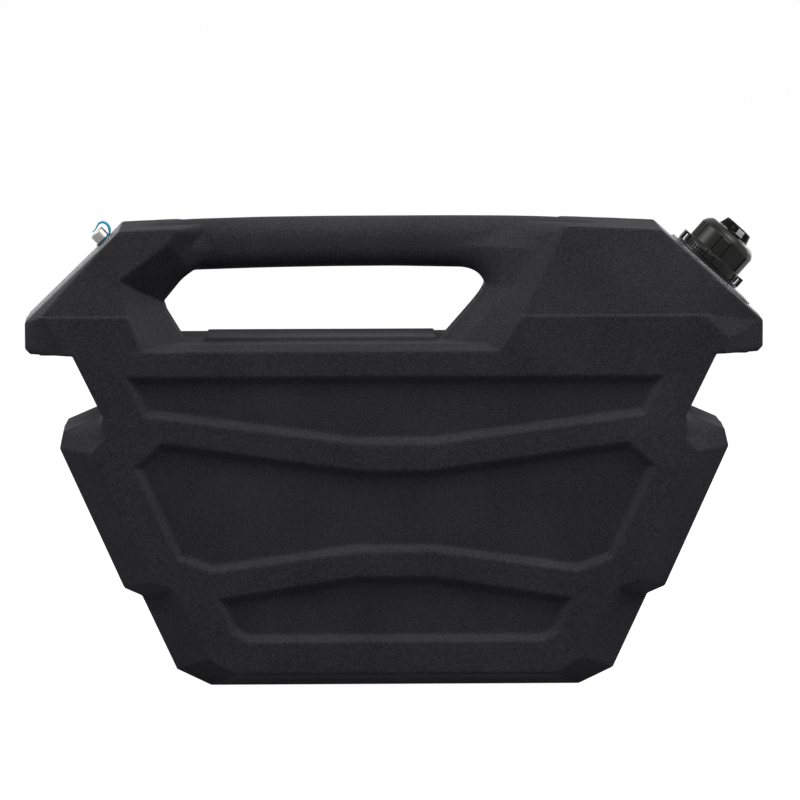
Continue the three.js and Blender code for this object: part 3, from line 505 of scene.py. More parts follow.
def outline_distance(corners):
    """Distance in the front view to a closed outline, below zero inside: the least distance to
    an edge, with its sign from the count of edges that a line to the right crosses."""
    corners = corners.astype(np.float32)
    start = corners[:, None, None, :]
    end = np.roll(corners, -1, axis=0)[:, None, None, :]
    run = end - start
    from_start_x, from_start_z = flat_x - start[..., 0], flat_z - start[..., 1]
    length = np.maximum((run**2).sum(-1), 1e-9)
    along = np.clip((from_start_x * run[..., 0] + from_start_z * run[..., 1]) / length, 0, 1)
    off_x = from_start_x - along * run[..., 0]
    off_z = from_start_z - along * run[..., 1]
    distance = np.sqrt((off_x**2 + off_z**2).min(0))
    spans = (start[..., 1] > flat_z) != (end[..., 1] > flat_z)
    rise = np.where(np.abs(run[..., 1]) < 1e-9, 1e-9, run[..., 1])
    crossing = start[..., 0] + run[..., 0] * from_start_z / rise
    inside = (spans & (flat_x < crossing)).sum(0) % 2 == 1
    return np.where(inside, -distance, distance)


def body_outline(depth):
    """Corners of the body's section at a depth: the drafted side outline up to SIDE_DEPTH,
    then each corner moves on a straight line to its place on the front face."""
    half = between(HALF_WIDTH, SIDE_HALF_WIDTH, min(depth / SIDE_DEPTH, 1.0))
    side = in_mm(outline_rows[:, :2], half)
    face = in_mm(outline_rows[:, 2:], SIDE_HALF_WIDTH)
    reach = (depth - SIDE_DEPTH) / (face_depth(face[:, 1]) - SIDE_DEPTH)
    return side + np.maximum(reach, 0)[:, None] * (face - side)


def window_outline(depth):
    """Corners of the window at a depth, on straight lines between its rings."""
    ring = np.clip(np.searchsorted(window_depths, depth) - 1, 0, len(window_depths) - 2)
    share = (depth - window_depths[ring]) / (window_depths[ring + 1] - window_depths[ring])
    return between(window_rings[ring], window_rings[ring + 1], share)


def evened(field):
    """A field divided by its steepness, so that it counts true millimetres on sloped sides too."""
    steepness = np.sqrt(sum(slope**2 for slope in np.gradient(field, STEP)))
    return field / np.maximum(steepness, 1)


def layers(outline_at):
    """Stack of outline distances, one for each depth of the lattice, in true millimetres."""
    return evened(np.stack([outline_distance(outline_at(depth)) for depth in lattice_y], axis=1))


def smoothed_row(values, steps=5.0, reach=12):
    """A row of values averaged by a bell curve, exp(-(offset / steps)^2 / 2)."""
    weights = np.exp(-0.5 * (np.arange(-reach, reach + 1) / steps) ** 2)
    padded = np.pad(values, reach, mode="edge")
    return np.convolve(padded, weights / weights.sum(), mode="valid")


# %% [markdown]
# The block is the body's outline, carried back and forth as far as each face, less the
# recesses and the window. The bar is a rounded section that could be swept along a curve, but
# then its roots would have to be stitched to the shoulders. As a field it needs no stitching:
# the lesser of two distances joins them, and a term that grows where both are small gives the
# wide fillet that hot plastic takes in the corner of a mould.


# %% Sharp form of the body
def blended(a, b, reach):
    """Least of two distances, with a fillet where they are closer than a reach:
    min(a, b) - reach h^2 / 4, where h = max(1 - |a - b| / reach, 0)."""
    near = np.maximum(1 - np.abs(a - b) / np.maximum(reach, 1e-6), 0)
    return np.minimum(a, b) - reach * near**2 / 4


recess = sum(
    np.clip(-outline_distance(outline) * RECESS_DEPTH / RECESS_RUN, 0, RECESS_DEPTH)
    for outline in panels
)
cube_x = lattice_x[:, None, None]
cube_y = lattice_y[None, :, None]
cube_z = lattice_z[None, None, :]
to_face = cube_y - (face_depth(lattice_z)[None, None, :] - recess[:, None, :])
block = np.maximum(layers(body_outline), evened(to_face))
# The cut's upper edges are rounded over, from 318 mm up, more on the right than on the left
# and less towards the faces: max(a, b) is -min(-a, -b)
near_top = np.clip((cube_z - 318) / 18, 0, 1)
left_radius = np.interp(lattice_x, (-180, -155, -110, -60), (1.5, 6.0, 12.0, 0.0))
left_round = left_radius[:, None, None] * np.clip((60 - cube_y) / 8, 0, 1)
right_radius = np.interp(lattice_x, (40, 80), (0.0, 14.0))
right_round = right_radius[:, None, None] * np.clip((46 - cube_y) / 12, 0, 1)
block = -blended(-block, layers(window_outline), near_top * (left_round + right_round))
print("lattice:", block.shape)


# %% Handle bar
def bar_value(column):
    """A column of the handle bar's table, read along x and smoothed over a few millimetres."""
    return smoothed_row(np.interp(lattice_x, bar[:, 0], bar[:, column]))[:, None, None]


# The section is |y / b|^n + |z / h|^n = 1, where b and h are its half depth and half height
half_height = bar_value(2) / 2
across = cube_y / bar_value(1)
upward = np.abs(cube_z - bar_value(3) + half_height) / half_height
reach = (across**BAR_POWER + upward**BAR_POWER) ** (1 / BAR_POWER)
grip = np.maximum(evened((reach - 1) * BAR_HALF), np.abs(cube_x - BAR_MIDDLE) - BAR_REACH)

# The fillet between bar and body is tight under the left end, wide elsewhere, and none on top
FILLET, LEFT_INNER_CUT, LEFT_FRONT_CUT = 25.0, 19.0, 9.0
left_share = np.interp(lattice_x, (-60, 0), (1.0, 0.0))[:, None, None]
front_share = np.clip((cube_y - 10) / 12, 0, 1)
root_fillet = (
    FILLET
    - LEFT_INNER_CUT * left_share * (1 - front_share)
    - LEFT_FRONT_CUT * left_share * front_share
)
below_top = np.clip((crown_height(lattice_x)[:, None, None] - cube_z - 5) / 14, 0, 1)
body = blended(block, grip, root_fillet * below_top)
print("body and bar joined, least distance:", round(float(body.min()), 1), "mm")

# %% [markdown]
# The two fittings stand square to the slopes. Each has a frame of its own: an origin on the
# slope, an axis that points out of the tank, and a direction down along the slope.

# %% Frames of the two fittings
neck_origin, outlet_origin = np.array([241.587, 0.0, 319.467]), np.array([-221.877, 0.0, 339.320])
neck_axis, outlet_axis = np.array(NECK_AXIS), np.array(OUTLET_AXIS)
neck_along, outlet_along = (
    np.array([axis[2], 0.0, -axis[0]]) for axis in (neck_axis, outlet_axis)
)


def in_place(points, origin, along, axis):
    """A fitting's points, [along the slope, across the tank, out of the slope], in the tank:
    origin + first along + second y + third axis."""
    points = np.asarray(points, float)
    across_tank = np.array([0.0, 1.0, 0.0])
    return (
        origin
        + points[..., :1] * along
        + points[..., 1:2] * across_tank
        + points[..., 2:3] * axis
    )


def fitting_lattice(origin, along, axis):
    """Distance from a fitting's axis, place along the slope, and height along the axis."""
    x, z = cube_x - origin[0], cube_z - origin[2]
    sideways = x * along[0] + z * along[2]
    return np.sqrt(sideways**2 + cube_y**2), sideways, x * axis[0] + z * axis[2]


print("the slopes' directions:", neck_along, outlet_along)

# %% [markdown]
# Flat pads and ribs stand on the moulding: one on the deck under the hand, one below each ear
# that keeps a strap from slipping, and one with rounded corners under the closure. Each could
# be a box of its own, sunk into the shell, but its foot would then meet the wall in a hard
# line. In the field it is joined before the averaging, so its edges and its foot come out
# rounded, as moulded ones do.


# %% Pads and stop ribs
def box_distance(low, high):
    """Distance to a box about the parting plane: the greatest distance to its sides."""
    middle, half = (np.array(high) + low) / 2, (np.array(high) - low) / 2
    return np.maximum(
        np.maximum(np.abs(cube_x - middle[0]) - half[0], np.abs(cube_y - middle[1]) - half[1]),
        np.abs(cube_z - middle[2]) - half[2],
    )


DECK_PAD = ((-143.5, -35.0, DECK_HEIGHT - 3), (32.3, 35.0, DECK_HEIGHT + 3.4))
EAR_RIB_X, EAR_RIB_HALF_WIDTH, EAR_RIB_HALF_DEPTH = 264.0, 7.0, 44.0
EAR_RIB_LOW = EAR_BOTTOM * SHOULDER_HEIGHT - 1.4
EAR_RIB_ROOT = EAR_RIB_LOW + 4
raised = [DECK_PAD]
for rib_x in (-EAR_RIB_X, EAR_RIB_X):
    low = (rib_x - EAR_RIB_HALF_WIDTH, -EAR_RIB_HALF_DEPTH, EAR_RIB_LOW)
    high = (rib_x + EAR_RIB_HALF_WIDTH, EAR_RIB_HALF_DEPTH, EAR_RIB_ROOT)
    raised.append((low, high))
for low, high in raised:
    body = np.minimum(body, box_distance(low, high))

# The closure's pad is sunk into the slope, and its top is level with its frame's origin
PAD_START, PAD_END, PAD_HALF, PAD_CORNER, PAD_SUNK = -32.0, 42.5, 35.0, 10.0, 5.0
along_slope, off_slope = fitting_lattice(neck_origin, neck_along, neck_axis)[1:]
pad_x = np.abs(along_slope - (PAD_START + PAD_END) / 2) - (PAD_END - PAD_START) / 2 + PAD_CORNER
pad_y = np.abs(cube_y) - PAD_HALF + PAD_CORNER
pad_side = np.hypot(np.maximum(pad_x, 0), np.maximum(pad_y, 0)) - PAD_CORNER
pad = np.maximum(pad_side, np.abs(off_slope + PAD_SUNK / 2) - PAD_SUNK / 2)
body = np.minimum(body, pad)
print("pads and ribs:", len(raised) + 1)


# %% Rounded edges
def softened(field, width, reach=3):
    """The lattice averaged along x, y and z by a bell curve of a width in mm."""
    offsets = np.arange(-reach, reach + 1)
    weights = np.exp(-0.5 * (offsets * STEP / width) ** 2)
    weights /= weights.sum()
    for axis in range(3):
        pads = [(reach, reach) if a == axis else (0, 0) for a in range(3)]
        padded = np.pad(field, pads, mode="symmetric")
        count = field.shape[axis]
        field = sum(
            weight * np.take(padded, range(i, i + count), axis=axis)
            for i, weight in enumerate(weights)
        )
    return field


body = softened(body, EDGE_SOFTNESS)
print("edges averaged over", EDGE_SOFTNESS, "mm")

# %% [markdown]
# Blow-moulding leaves the tank hollow, with a wall of nearly even thickness. A Solidify
# modifier could give a wall, but it folds over itself in tight corners. The hollow here is the
# same field, moved in by the wall, which can't fold. Round each fitting a boss of solid
# plastic is left standing, with its bore through it.

# %% Wall, bosses and bores
WALL = 4.0
NECK_PAD_HEIGHT = 1.5
pad_foot = neck_origin - NECK_PAD_HEIGHT * neck_axis
hollow = body + WALL
shell = body
# A frame, then the bore's radius and the boss's wall and depth
for origin, along, axis, bore, boss_wall, boss_depth in (
    (pad_foot, neck_along, neck_axis, 19.3, 6.0, 16.0),
    (outlet_origin, outlet_along, outlet_axis, 8.8, 4.0, 14.0),
):
    from_axis, _, height = fitting_lattice(origin, along, axis)
    boss_end = np.abs(height + boss_depth / 2) - boss_depth / 2
    hollow = np.maximum(hollow, -np.maximum(from_axis - bore - boss_wall, boss_end))
    shell = np.maximum(shell, np.minimum(bore - from_axis, height + boss_depth + 2 * WALL))
shell = np.maximum(shell, -hollow)
print("shell's lattice points inside the plastic:", int((shell < 0).sum()))


# %% [markdown]
# The field is turned into a mesh by a surface net: one point in each lattice cell that the
# surface crosses, at the mean of the crossings on the cell's edges, and one four-sided face
# round each lattice edge that is crossed. The tank is made in two halves, as its mould is,
# and the second half is the first one mirrored.


# %% Surface net
def surface_net(field, origin, step):
    """Points and faces of the surface where a field is zero: a cell's point is the mean of
    the places where its edges cross the surface, each at a / (a - b) of the way between two
    corner values a and b. Below the first layer along y, the half is closed flat on the
    parting plane."""
    field = np.concatenate([np.full_like(field[:, :1], step), field], axis=1)
    inside = field < 0
    cells = np.array(inside.shape) - 1
    corner_steps = np.array([(i, j, k) for i in (0, 1) for j in (0, 1) for k in (0, 1)])

    def corner(values, s):
        return values[s[0] : s[0] + cells[0], s[1] : s[1] + cells[1], s[2] : s[2] + cells[2]]

    count = sum(corner(inside, s).astype(np.int8) for s in corner_steps)
    active = (count > 0) & (count < 8)
    where = np.argwhere(active)
    value = np.stack([field[tuple((where + s).T)] for s in corner_steps], axis=1)
    total = np.zeros((len(where), 3))
    crossings = np.zeros(len(where))
    at_parting = where[:, 1] == 0
    for a, b in itertools.combinations(range(8), 2):
        if np.abs(corner_steps[a] - corner_steps[b]).sum() != 1:
            continue
        crossed = (value[:, a] < 0) != (value[:, b] < 0)
        if corner_steps[a, 1] != corner_steps[b, 1]:
            crossed &= ~at_parting
        share = value[:, a] / np.where(crossed, value[:, a] - value[:, b], 1.0)
        point = corner_steps[a] + share[:, None] * (corner_steps[b] - corner_steps[a])
        total += np.where(crossed[:, None], point, 0)
        crossings += crossed
    middle = np.where(crossings[:, None] > 0, total / np.maximum(crossings, 1)[:, None], 0.5)
    points = origin + (where + middle) * step
    points[at_parting, 1] = 0.0

    number = np.full(cells, -1)
    number[active] = np.arange(len(where))
    faces = []
    for axis in range(3):
        u, v = (axis + 1) % 3, (axis + 2) % 3
        low = np.take(inside, range(cells[axis]), axis=axis)
        high = np.take(inside, range(1, cells[axis] + 1), axis=axis)
        edges = np.argwhere(low != high)
        edges = edges[(edges[:, u] > 0) & (edges[:, v] > 0)]
        edges = edges[(edges[:, u] < cells[u]) & (edges[:, v] < cells[v])]
        to_u, to_v = np.eye(3, dtype=int)[u], np.eye(3, dtype=int)[v]
        around = [edges - to_u - to_v, edges - to_v, edges, edges - to_u]
        quad = np.stack([number[tuple(cell.T)] for cell in around], axis=1)
        outward = low[tuple(edges.T)]
        faces.append(np.where(outward[:, None], quad, quad[:, ::-1]))
    return points, np.concatenate(faces)


# %% Thinning
PARTING_REACH = 0.05  # mm; points nearer to the parting plane than this are set on it


def thinned(points, faces, most):
    """The mesh with at most so many triangles: the edges whose loss moves the surface least go
    first, so flat runs lose nearly all of theirs and rounded edges keep theirs."""
    draft = bpy.data.meshes.new("draft")
    draft.from_pydata(points, [], faces)
    holder = bpy.data.objects.new("draft", draft)
    bpy.context.scene.collection.objects.link(holder)
    thin = holder.modifiers.new("thin", "DECIMATE")
    thin.ratio = most / (2 * len(faces))
    result = holder.evaluated_get(bpy.context.evaluated_depsgraph_get()).to_mesh()
    result.calc_loop_triangles()
    kept = np.empty(3 * len(result.vertices), np.float32)
    result.vertices.foreach_get("co", kept)
    corners = np.empty(3 * len(result.loop_triangles), np.int32)
    result.loop_triangles.foreach_get("vertices", corners)
    bpy.data.objects.remove(holder)
    bpy.data.meshes.remove(draft)
    kept = kept.reshape(-1, 3).astype(float)
    kept[np.abs(kept[:, 1]) < PARTING_REACH, 1] = 0.0
    return kept, corners.reshape(-1, 3)


# %% The two halves
MOST_TRIANGLES = 190_000
SHARP_FROM = 62.0  # degrees between faces: only the rims of the bores are that sharp
net_origin = np.array([lattice_x[0], lattice_y[0] - STEP, lattice_z[0]])
net_points, net_faces = surface_net(shell, net_origin, STEP)
print("surface net:", len(net_faces), "faces")
half_points, half_faces = thinned(net_points, net_faces, MOST_TRIANGLES)
for name, side in (("tank_shell_back", 1), ("tank_shell_front", -1)):
    points = half_points * (1, side, 1)
    faces = half_faces if side > 0 else half_faces[:, ::-1]
    half_shell = mesh_piece(name, points, faces, tank_plastic, "tank", SHARP_FROM)
    even = half_shell.modifiers.new("even", "WEIGHTED_NORMAL")
    even.keep_sharp = True
    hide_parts("tank_shell")


# %% [markdown]
# The closure's nut, its knob and the pale blocks in the knob's windows are turned shapes with
# moulded cuts. Each is a grid of points: one row for each corner of its profile, one column
# for each step round its axis. A cut moves the points of its rows and columns inward, which
# keeps the surface closed. Angles count from the front, to the right.

# %% Turned pieces
TURN_STEPS = 720
turn = np.radians(np.arange(TURN_STEPS) * 360 / TURN_STEPS - 180)


def grid_mesh(grid, loop_rows):
    """Triangles of a grid that closes round its columns, and round its rows too where asked.
    Equal points are joined, and the faces look outward: their signed volume is positive."""
    rows, columns = grid.shape[:2]
    number = np.arange(rows * columns).reshape(rows, columns)
    if loop_rows:
        number = np.vstack([number, number[:1]])
    number = np.hstack([number, number[:, :1]])
    a, b = number[:-1, :-1].ravel(), number[:-1, 1:].ravel()
    c, d = number[1:, 1:].ravel(), number[1:, :-1].ravel()
    faces = np.concatenate([np.stack([a, b, c], 1), np.stack([a, c, d], 1)])
    points = grid.reshape(-1, 3)
    _, first, joined = np.unique(points.round(4), axis=0, return_index=True, return_inverse=True)
    points, faces = points[first], joined.ravel()[faces]
    a, b, c = faces.T
    faces = faces[(a != b) & (b != c) & (c != a)]
    p, q, r = (points[faces[:, i]] for i in range(3))
    if np.einsum("ij,ij->i", p, np.cross(q, r)).sum() < 0:
        faces = faces[:, ::-1]
    return points, faces


def turned(radii, heights):
    """Grid of a turned shape: (r sin t, -r cos t, h) for each row's radius r and height h."""
    radii = np.broadcast_to(radii, (len(heights), TURN_STEPS))
    heights = np.broadcast_to(np.asarray(heights, float)[:, None], radii.shape)
    return np.stack([radii * np.sin(turn), -radii * np.cos(turn), heights], axis=-1)


# %% Cuts and places of the turned pieces
def near_angle(centre, half_width):
    """1 on the columns no further from an angle in degrees than half a width, 0 elsewhere."""
    off = (np.degrees(turn) - centre + 180) % 360 - 180
    return (np.abs(off) <= half_width).astype(float)


def on_rows(heights, low, high):
    """1 on the rows between two heights, 0 elsewhere."""
    heights = np.asarray(heights)
    return ((heights >= low) & (heights <= high)).astype(float)[:, None]


NECK_FRAME = (neck_origin, neck_along, neck_axis)
OUTLET_FRAME = (outlet_origin, outlet_along, outlet_axis)
# Each replaced CAD node with its body, its slot and the frame it stands in
PLACES = {
    "filler_nut": ("nut", "closure_black", NECK_FRAME),
    "vent_knob": ("knob", "gloss_black", NECK_FRAME),
    "retaining_strap": ("strap", "teal_plastic", OUTLET_FRAME),
}
SHARP_RIM = 40.0  # degrees between faces


def fitted(name, node, grid, material, loop_rows=False):
    """A piece of a fitting, made from its grid and set in the tank in place of a CAD node."""
    body, slot, frame_of = PLACES[node]
    points, faces = grid_mesh(grid, loop_rows)
    made = mesh_piece(name, in_place(points, *frame_of), faces, material, body, SHARP_RIM)
    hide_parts(node)


print("degrees between columns:", 360 / TURN_STEPS)

# %% [markdown]
# The filler nut is moulded nylon with a bevelled rim. Its side is split by dark grooves into
# wide and narrow panels, and a stepped skirt below carries slots, paired tabs and plain bays.

# %% Profile of the filler nut
# Radius and height, from the skirt's foot up to the hole in the top, then back down the inside
nut_profile = np.array([
    (24.7, 2.7), (25.6, 2.7), (25.9, 3.0), (25.9, 3.5), (25.9, 3.6), (25.9, 6.6), (25.9, 6.7),
    (25.9, 8.9), (25.6, 9.3), (24.6, 9.5), (24.1, 9.9), (24.0, 10.3), (24.0, 10.4), (24.0, 23.9),
    (24.0, 24.3), (23.7, 25.3), (22.7, 26.9), (20.4, 29.3), (19.6, 29.8), (18.6, 30.2),
    (17.2, 30.4), (13.9, 30.4), (13.5, 30.0), (13.5, 25.9), (21.0, 25.9), (21.0, 7.1),
    (24.7, 6.9), (24.7, 4.8),
])
nut_heights = nut_profile[:, 1]
OUTER_ROWS = 21  # rows of the profile before the hole in the top
outside = (np.arange(len(nut_profile)) < OUTER_ROWS)[:, None]
on_side = outside * on_rows(nut_heights, 10.35, 24.0)
on_skirt = outside * on_rows(nut_heights, 2.9, 9.4)
on_slots = outside * on_rows(nut_heights, 3.55, 6.65)
nut_radii = np.repeat(nut_profile[:, :1], TURN_STEPS, axis=1)
print("nut:", 2 * nut_radii.max(), "mm across its skirt")

# %% Side of the filler nut
# All in degrees round the axis, and in mm
GROOVES = (-60, -17.5, 4, 48, 69.5, 113, 134.5, 178, -160.5, -120, -98)
GROOVE_HALF, GROOVE_DEPTH = 1.25, 1.3
NARROW_PANELS = ((-17.5, 4), (48, 69.5), (113, 134.5), (178, 199.5), (-120, -98))
PANEL_RISE = 0.35  # by which the narrow panels stand proud
GRIPS, GRIP_RIBS, RIB_PITCH, RIB_HALF, RIB_RISE = (-86, 34, 154), 4, 5.0, 1.2, 0.45
nut_radii -= GROOVE_DEPTH * sum(near_angle(angle, GROOVE_HALF) for angle in GROOVES) * on_side
for low, high in NARROW_PANELS:
    panel = near_angle((low + high) / 2, (high - low) / 2 - GROOVE_HALF)
    nut_radii += PANEL_RISE * panel * on_side
for start, rib in itertools.product(GRIPS, range(GRIP_RIBS)):
    nut_radii += RIB_RISE * near_angle(start + rib * RIB_PITCH, RIB_HALF) * on_side
print("grooves:", len(GROOVES), "grip ribs:", len(GRIPS) * GRIP_RIBS)

# %% Skirt of the filler nut
BAYS = (0, 120, 240)
SLOT_START, SLOT_PITCH, SLOT_COUNT, SLOT_HALF, SLOT_DEPTH = -63, 6.2, 7, 1.3, 1.0
TAB_MIDDLE, TAB_HALF = -1.7, 17.0
TAB_RISE = 0.3  # the tabs still turn past the inside of the collar's hooks
TAB_EDGES, TAB_EDGE_HALF, TAB_EDGE_DEPTH = (-18.6, -2.6, 15.2), 1.5, 1.1
PLAIN_MIDDLE, PLAIN_HALF, PLAIN_DEPTH = 36, 19.5, 0.9
LEAST_RADIUS = 24.9  # where two cuts cross they go no deeper, and leave the skirt its wall
for bay in BAYS:
    for slot in range(SLOT_COUNT):
        cut = near_angle(bay + SLOT_START + slot * SLOT_PITCH, SLOT_HALF)
        nut_radii -= SLOT_DEPTH * cut * on_slots
    nut_radii += TAB_RISE * near_angle(bay + TAB_MIDDLE, TAB_HALF) * on_skirt
    for edge in TAB_EDGES:
        nut_radii -= TAB_EDGE_DEPTH * near_angle(bay + edge, TAB_EDGE_HALF) * on_skirt
    nut_radii -= PLAIN_DEPTH * near_angle(bay + PLAIN_MIDDLE, PLAIN_HALF) * on_skirt
nut_radii = np.where(on_skirt > 0, np.maximum(nut_radii, LEAST_RADIUS), nut_radii)
nut_grid = turned(nut_radii, nut_heights)
fitted("filler_nut_moulding", "filler_nut", nut_grid, closure_nylon, loop_rows=True)

# %% [markdown]
# The vent knob is a glossy cap over the vent. Three windows in its side show pale blocks, so
# that its position can be read, and a run of fine slots beside each one gives a grip.

# %% Vent knob
WINDOW_ANGLES = (13.5, 133.5, -106.5)
WINDOW_HALF, WINDOW_FLOOR = 16.0, 9.9  # degrees, and the radius it is cut down to
GRIP_SLOTS, GRIP_START, GRIP_PITCH, GRIP_HALF, GRIP_DEPTH = 4, 24, 7.0, 1.9, 1.0
# Radius and height, from the middle of the top down the outside, then up the bore
knob_profile = np.array([
    (0.0, 38.4), (9.4, 38.4), (10.9, 38.2), (11.5, 37.7), (11.6, 37.6), (12.4, 34.9),
    (13.2, 32.2), (13.5, 31.9), (13.8, 31.6), (13.8, 31.2), (13.6, 31.0), (9.75, 31.0),
    (9.75, 37.1), (0.0, 37.1),
])
WINDOW_ROWS = slice(4, 8)
knob_radii = np.repeat(knob_profile[:, :1], TURN_STEPS, axis=1)
in_window = np.zeros((len(knob_profile), 1))
in_window[WINDOW_ROWS] = 1.0
for angle in WINDOW_ANGLES:
    knob_radii -= (knob_radii - WINDOW_FLOOR) * near_angle(angle, WINDOW_HALF) * in_window
    for slot in range(GRIP_SLOTS):
        cut = near_angle(angle + GRIP_START + slot * GRIP_PITCH, GRIP_HALF)
        knob_radii -= GRIP_DEPTH * cut * in_window
fitted("vent_knob_cap", "vent_knob", turned(knob_radii, knob_profile[:, 1]), knob_acetal)

# %% Blocks in the knob's windows
# Radius and height; the inner side stands 0.1 mm off the window's floor
block_profile = np.array([
    (10.0, 32.0), (12.3, 32.0), (12.7, 32.4), (12.1, 34.5), (11.5, 37.1), (11.2, 37.4),
    (10.0, 37.4),
])
BLOCK_HALF, BLOCK_COLUMNS = 14.5, 17


def with_ends(sections):
    """A grid closed at both ends: each end section is drawn together to its own middle."""
    first, last = (np.broadcast_to(sections[i].mean(0), sections[i].shape) for i in (0, -1))
    return np.concatenate([first[None], sections, last[None]])


for count, angle in enumerate(WINDOW_ANGLES):
    width = np.radians(np.linspace(angle - BLOCK_HALF, angle + BLOCK_HALF, BLOCK_COLUMNS))
    radii = np.repeat(block_profile[:, :1], BLOCK_COLUMNS, axis=1)
    heights = np.repeat(block_profile[:, 1:], BLOCK_COLUMNS, axis=1)
    side = np.stack([radii * np.sin(width), -radii * np.cos(width), heights], axis=-1)
    block = with_ends(side.transpose(1, 0, 2))
    fitted(f"vent_knob_block_{count + 1}", "vent_knob", block, vent_acetal)

# %% [markdown]
# The teal strap is moulded polyurethane. A ring holds it under the nipple's head, and its tail
# rises on the slope's upper side, curls over and thins out. It is a rounded section along a
# smooth path, thicker at its root. The ring lies in the shade, which is painted into it as a much
# darker teal.

# %% Strap's ring
# Radius and height of the ring's rounded section
ring_profile = np.array([
    (5.3, 0.45), (5.45, 0.3), (7.0, 0.3), (7.2, 0.5), (7.2, 1.6), (7.0, 1.8), (5.45, 1.8),
    (5.3, 1.65),
])
ring_grid = turned(ring_profile[:, :1], ring_profile[:, 1])
fitted("retaining_strap_ring", "retaining_strap", ring_grid, strap_shade, loop_rows=True)

# %% Strap's tail
CURL_REACH, CURL_HEIGHT = 10.4, 11.75  # mm along the slope, and above the ring's middle
BAND_MIDDLE = 1.05
STATIONS, CORNERS = 121, 24  # sections along the tail, and points round each
CORNER_POWER = 0.6  # 1 gives an ellipse, and less is squarer
curl = np.array([
    (0.60, 0.0), (0.80, 0.15), (0.95, 0.34), (0.99, 0.59), (0.91, 0.82), (0.76, 0.93),
    (0.58, 0.98), (0.38, 0.95), (0.18, 0.87), (0.00, 0.83), (-0.23, 0.86),
]) * (CURL_REACH, CURL_HEIGHT)
station = np.linspace(0, len(curl) - 1, STATIONS)
path = np.stack(
    [smoothed_row(np.interp(station, range(len(curl)), curl[:, i])) for i in (0, 1)], axis=1
)
heading = np.gradient(path, axis=0)
heading /= np.linalg.norm(heading, axis=1)[:, None]
sideways = np.stack([-heading[:, 1], heading[:, 0]], axis=1)
along_band = np.linspace(0, 1, STATIONS)
half_thick = np.interp(along_band, (0, 0.15, 0.45, 0.75, 1), (0.75, 1.1, 0.95, 0.65, 0.4))
half_wide = np.interp(along_band, (0, 0.3, 1), (3.6, 3.4, 1.6))
# Each section is (a |cos t|^p, b |sin t|^p), with the signs of cos t and sin t
around = np.radians(np.arange(CORNERS) * 360 / CORNERS)
round_x, round_y = (
    np.sign(wave) * np.abs(wave) ** CORNER_POWER for wave in (np.cos(around), np.sin(around))
)
section = path[:, None, :] + half_thick[:, None, None] * round_x[:, None] * sideways[:, None, :]
band = np.stack(
    [section[..., 0], half_wide[:, None] * round_y, section[..., 1] + BAND_MIDDLE], axis=-1
)
fitted("retaining_strap_tail", "retaining_strap", with_ends(band), strap_teal)

# %% [markdown]
# The remaining pieces keep their solids and get the finish of their real material. Most of
# them lie inside the closure and the tank, where a plain solid is all that they need: gaskets
# and seals of rubber, the neck and the collar of nylon, and turned metal at the outlet.

# %% Finishes of the CAD pieces
finishes = {
    "neck_gasket": seal_rubber,
    "filler_neck": closure_nylon,
    "locking_collar": closure_nylon,
    "cap_gasket": seal_rubber,
    "vent_plug": closure_nylon,
    "vent_seat": vent_acetal,
    "vent_flap": seal_rubber,
    "vent_seal_ring": seal_rubber,
    "outlet_insert": insert_brass,
    "outlet_seal": seal_rubber,
    "outlet_nipple": nipple_steel,
    "pickup_tube": tube_nylon,
    "pickup_strainer": nipple_steel,
}
for name, finish in finishes.items():
    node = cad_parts[name]
    node.data.materials.clear()
    node.data.materials.append(finish)
print("finished CAD pieces:", len(finishes))

# %% [markdown]
# The tank stands on a plain white floor in front of a white surround. More light would turn a
# floor white too, but it would wash out the tank. The floor adds a little light of its own
# instead, for the camera and for mirroring surfaces alone, and still takes the tank's shadow.


# %% Floor
FLOOR_HALF, FLOOR_DROP = 30.0, 0.0004  # metres; the drop keeps it clear of the tank's base
FLOOR_GLOW = 0.98
FLOOR_PAINT = "#868686"


def white_floor():
    """Matt painted board: diffuse for the light that falls on it, partly self-lit for the eye."""
    material = bpy.data.materials.new("white_floor")
    material.use_nodes = True
    tree = material.node_tree
    tree.nodes.remove(tree.nodes["Principled BSDF"])
    path = add(tree, "ShaderNodeLightPath")
    seen = add(
        tree,
        "ShaderNodeMath",
        {0: path.outputs["Is Camera Ray"], 1: path.outputs["Is Glossy Ray"]},
        operation="MAXIMUM",
    )
    paint = add(tree, "ShaderNodeBsdfDiffuse", {"Color": linear(FLOOR_PAINT)})
    glow = add(
        tree, "ShaderNodeEmission", {"Color": (1, 1, 1, 1), "Strength": FLOOR_GLOW}
    )
    lit = add(tree, "ShaderNodeAddShader", {0: paint.outputs[0], 1: glow.outputs[0]})
    mix = add(
        tree, "ShaderNodeMixShader", {0: seen.outputs[0], 1: paint.outputs[0], 2: lit.outputs[0]}
    )
    tree.links.new(mix.outputs[0], tree.nodes["Material Output"].inputs["Surface"])
    return material


floor_mesh = bpy.data.meshes.new("floor")
floor_corners = [
    (x * FLOOR_HALF, y * FLOOR_HALF, -FLOOR_DROP) for x, y in ((-1, -1), (1, -1), (1, 1), (-1, 1))
]
floor_mesh.from_pydata(floor_corners, [], [(0, 1, 2, 3)])
floor_mesh.materials.append(white_floor())
floor = bpy.data.objects.new("floor", floor_mesh)
bpy.context.scene.collection.objects.link(floor)
floor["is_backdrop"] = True
print("floor:", 2 * FLOOR_HALF, "m wide")

# %% [markdown]
# A studio lights black plastic with a few large soft lamps, high up, so that each facet gets a
# tone of its own. One lamp hangs high in front and one on each side. Weak ones low at the
# sides and behind keep the flanks and the back from going black.

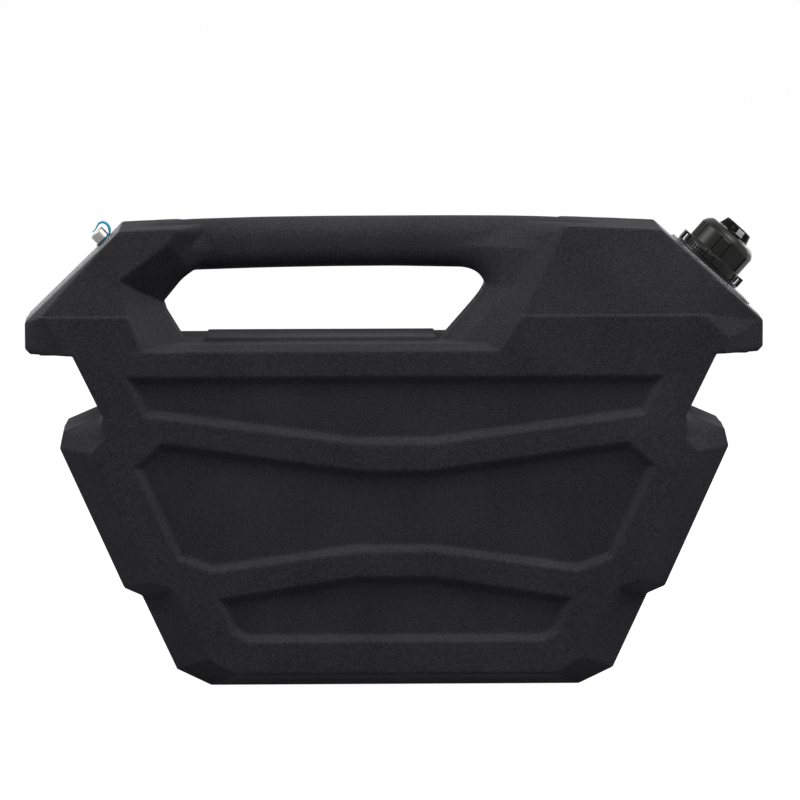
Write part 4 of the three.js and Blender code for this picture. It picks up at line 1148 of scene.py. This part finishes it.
# %% Lamps
# Place, side and power, in metres and watts
LAMPS = {
    "front": ((0.0, -1.7, 2.15), 0.9, 21.5),
    "high_left": ((-1.5, -0.4, 1.8), 0.8, 31.0),
    "high_right": ((1.5, -0.5, 1.85), 0.8, 35.0),
    "left_side": ((-2.2, -0.4, 0.4), 0.8, 5.0),
    "right_side": ((2.2, -0.4, 0.4), 0.8, 4.0),
    "left_behind": ((-1.6, 1.9, 0.7), 0.8, 14.0),
    "right_behind": ((1.6, 1.9, 0.7), 0.8, 14.0),
}
for name, (place, size, power) in LAMPS.items():
    data = bpy.data.lights.new(name, "AREA")
    data.shape = "SQUARE"
    data.size = size
    data.energy = power
    lamp = bpy.data.objects.new(name, data)
    bpy.context.scene.collection.objects.link(lamp)
    lamp.location = place
    # A lamp shines along its own minus Z: its Z points from the tank's middle to the lamp
    lamp.rotation_euler = (Vector(place) - TARGET).to_track_quat("Z", "Y").to_euler()
    lamp.visible_camera = False
print("lamps:", len(LAMPS))

# %% [markdown]
# The surround is white for what the camera sees, directly or mirrored in metal, and nearly
# black for the light that it throws on the tank.

# %% Surround
SURROUND_LIGHT = 0.03
world = bpy.data.worlds.new("surround")
bpy.context.scene.world = world
world.use_nodes = True
tree = world.node_tree
surround = tree.nodes["Background"]
rays = add(tree, "ShaderNodeLightPath").outputs
seen = rays["Is Camera Ray"]
for kind in ("Is Glossy Ray", "Is Transmission Ray"):
    seen = add(tree, "ShaderNodeMath", {0: seen, 1: rays[kind]}, operation="MAXIMUM").outputs[0]
level = add(
    tree, "ShaderNodeMapRange", {"Value": seen, "To Min": SURROUND_LIGHT, "To Max": 1.0}
)
tree.links.new(level.outputs["Result"], surround.inputs["Strength"])
surround.inputs["Color"].default_value = (1, 1, 1, 1)
bpy.context.scene.view_settings.view_transform = "Standard"
print("surround's light on the tank:", SURROUND_LIGHT)

# %% [markdown]
# The box of the dressed tank is printed, in millimetres. The box of the dressed tank has to
# stay inside the CAD model's box.

# %% Size of the dressed tank
low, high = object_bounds()
print("visual box in mm:", [round(v / MM, 1) for v in (*low, *high)])
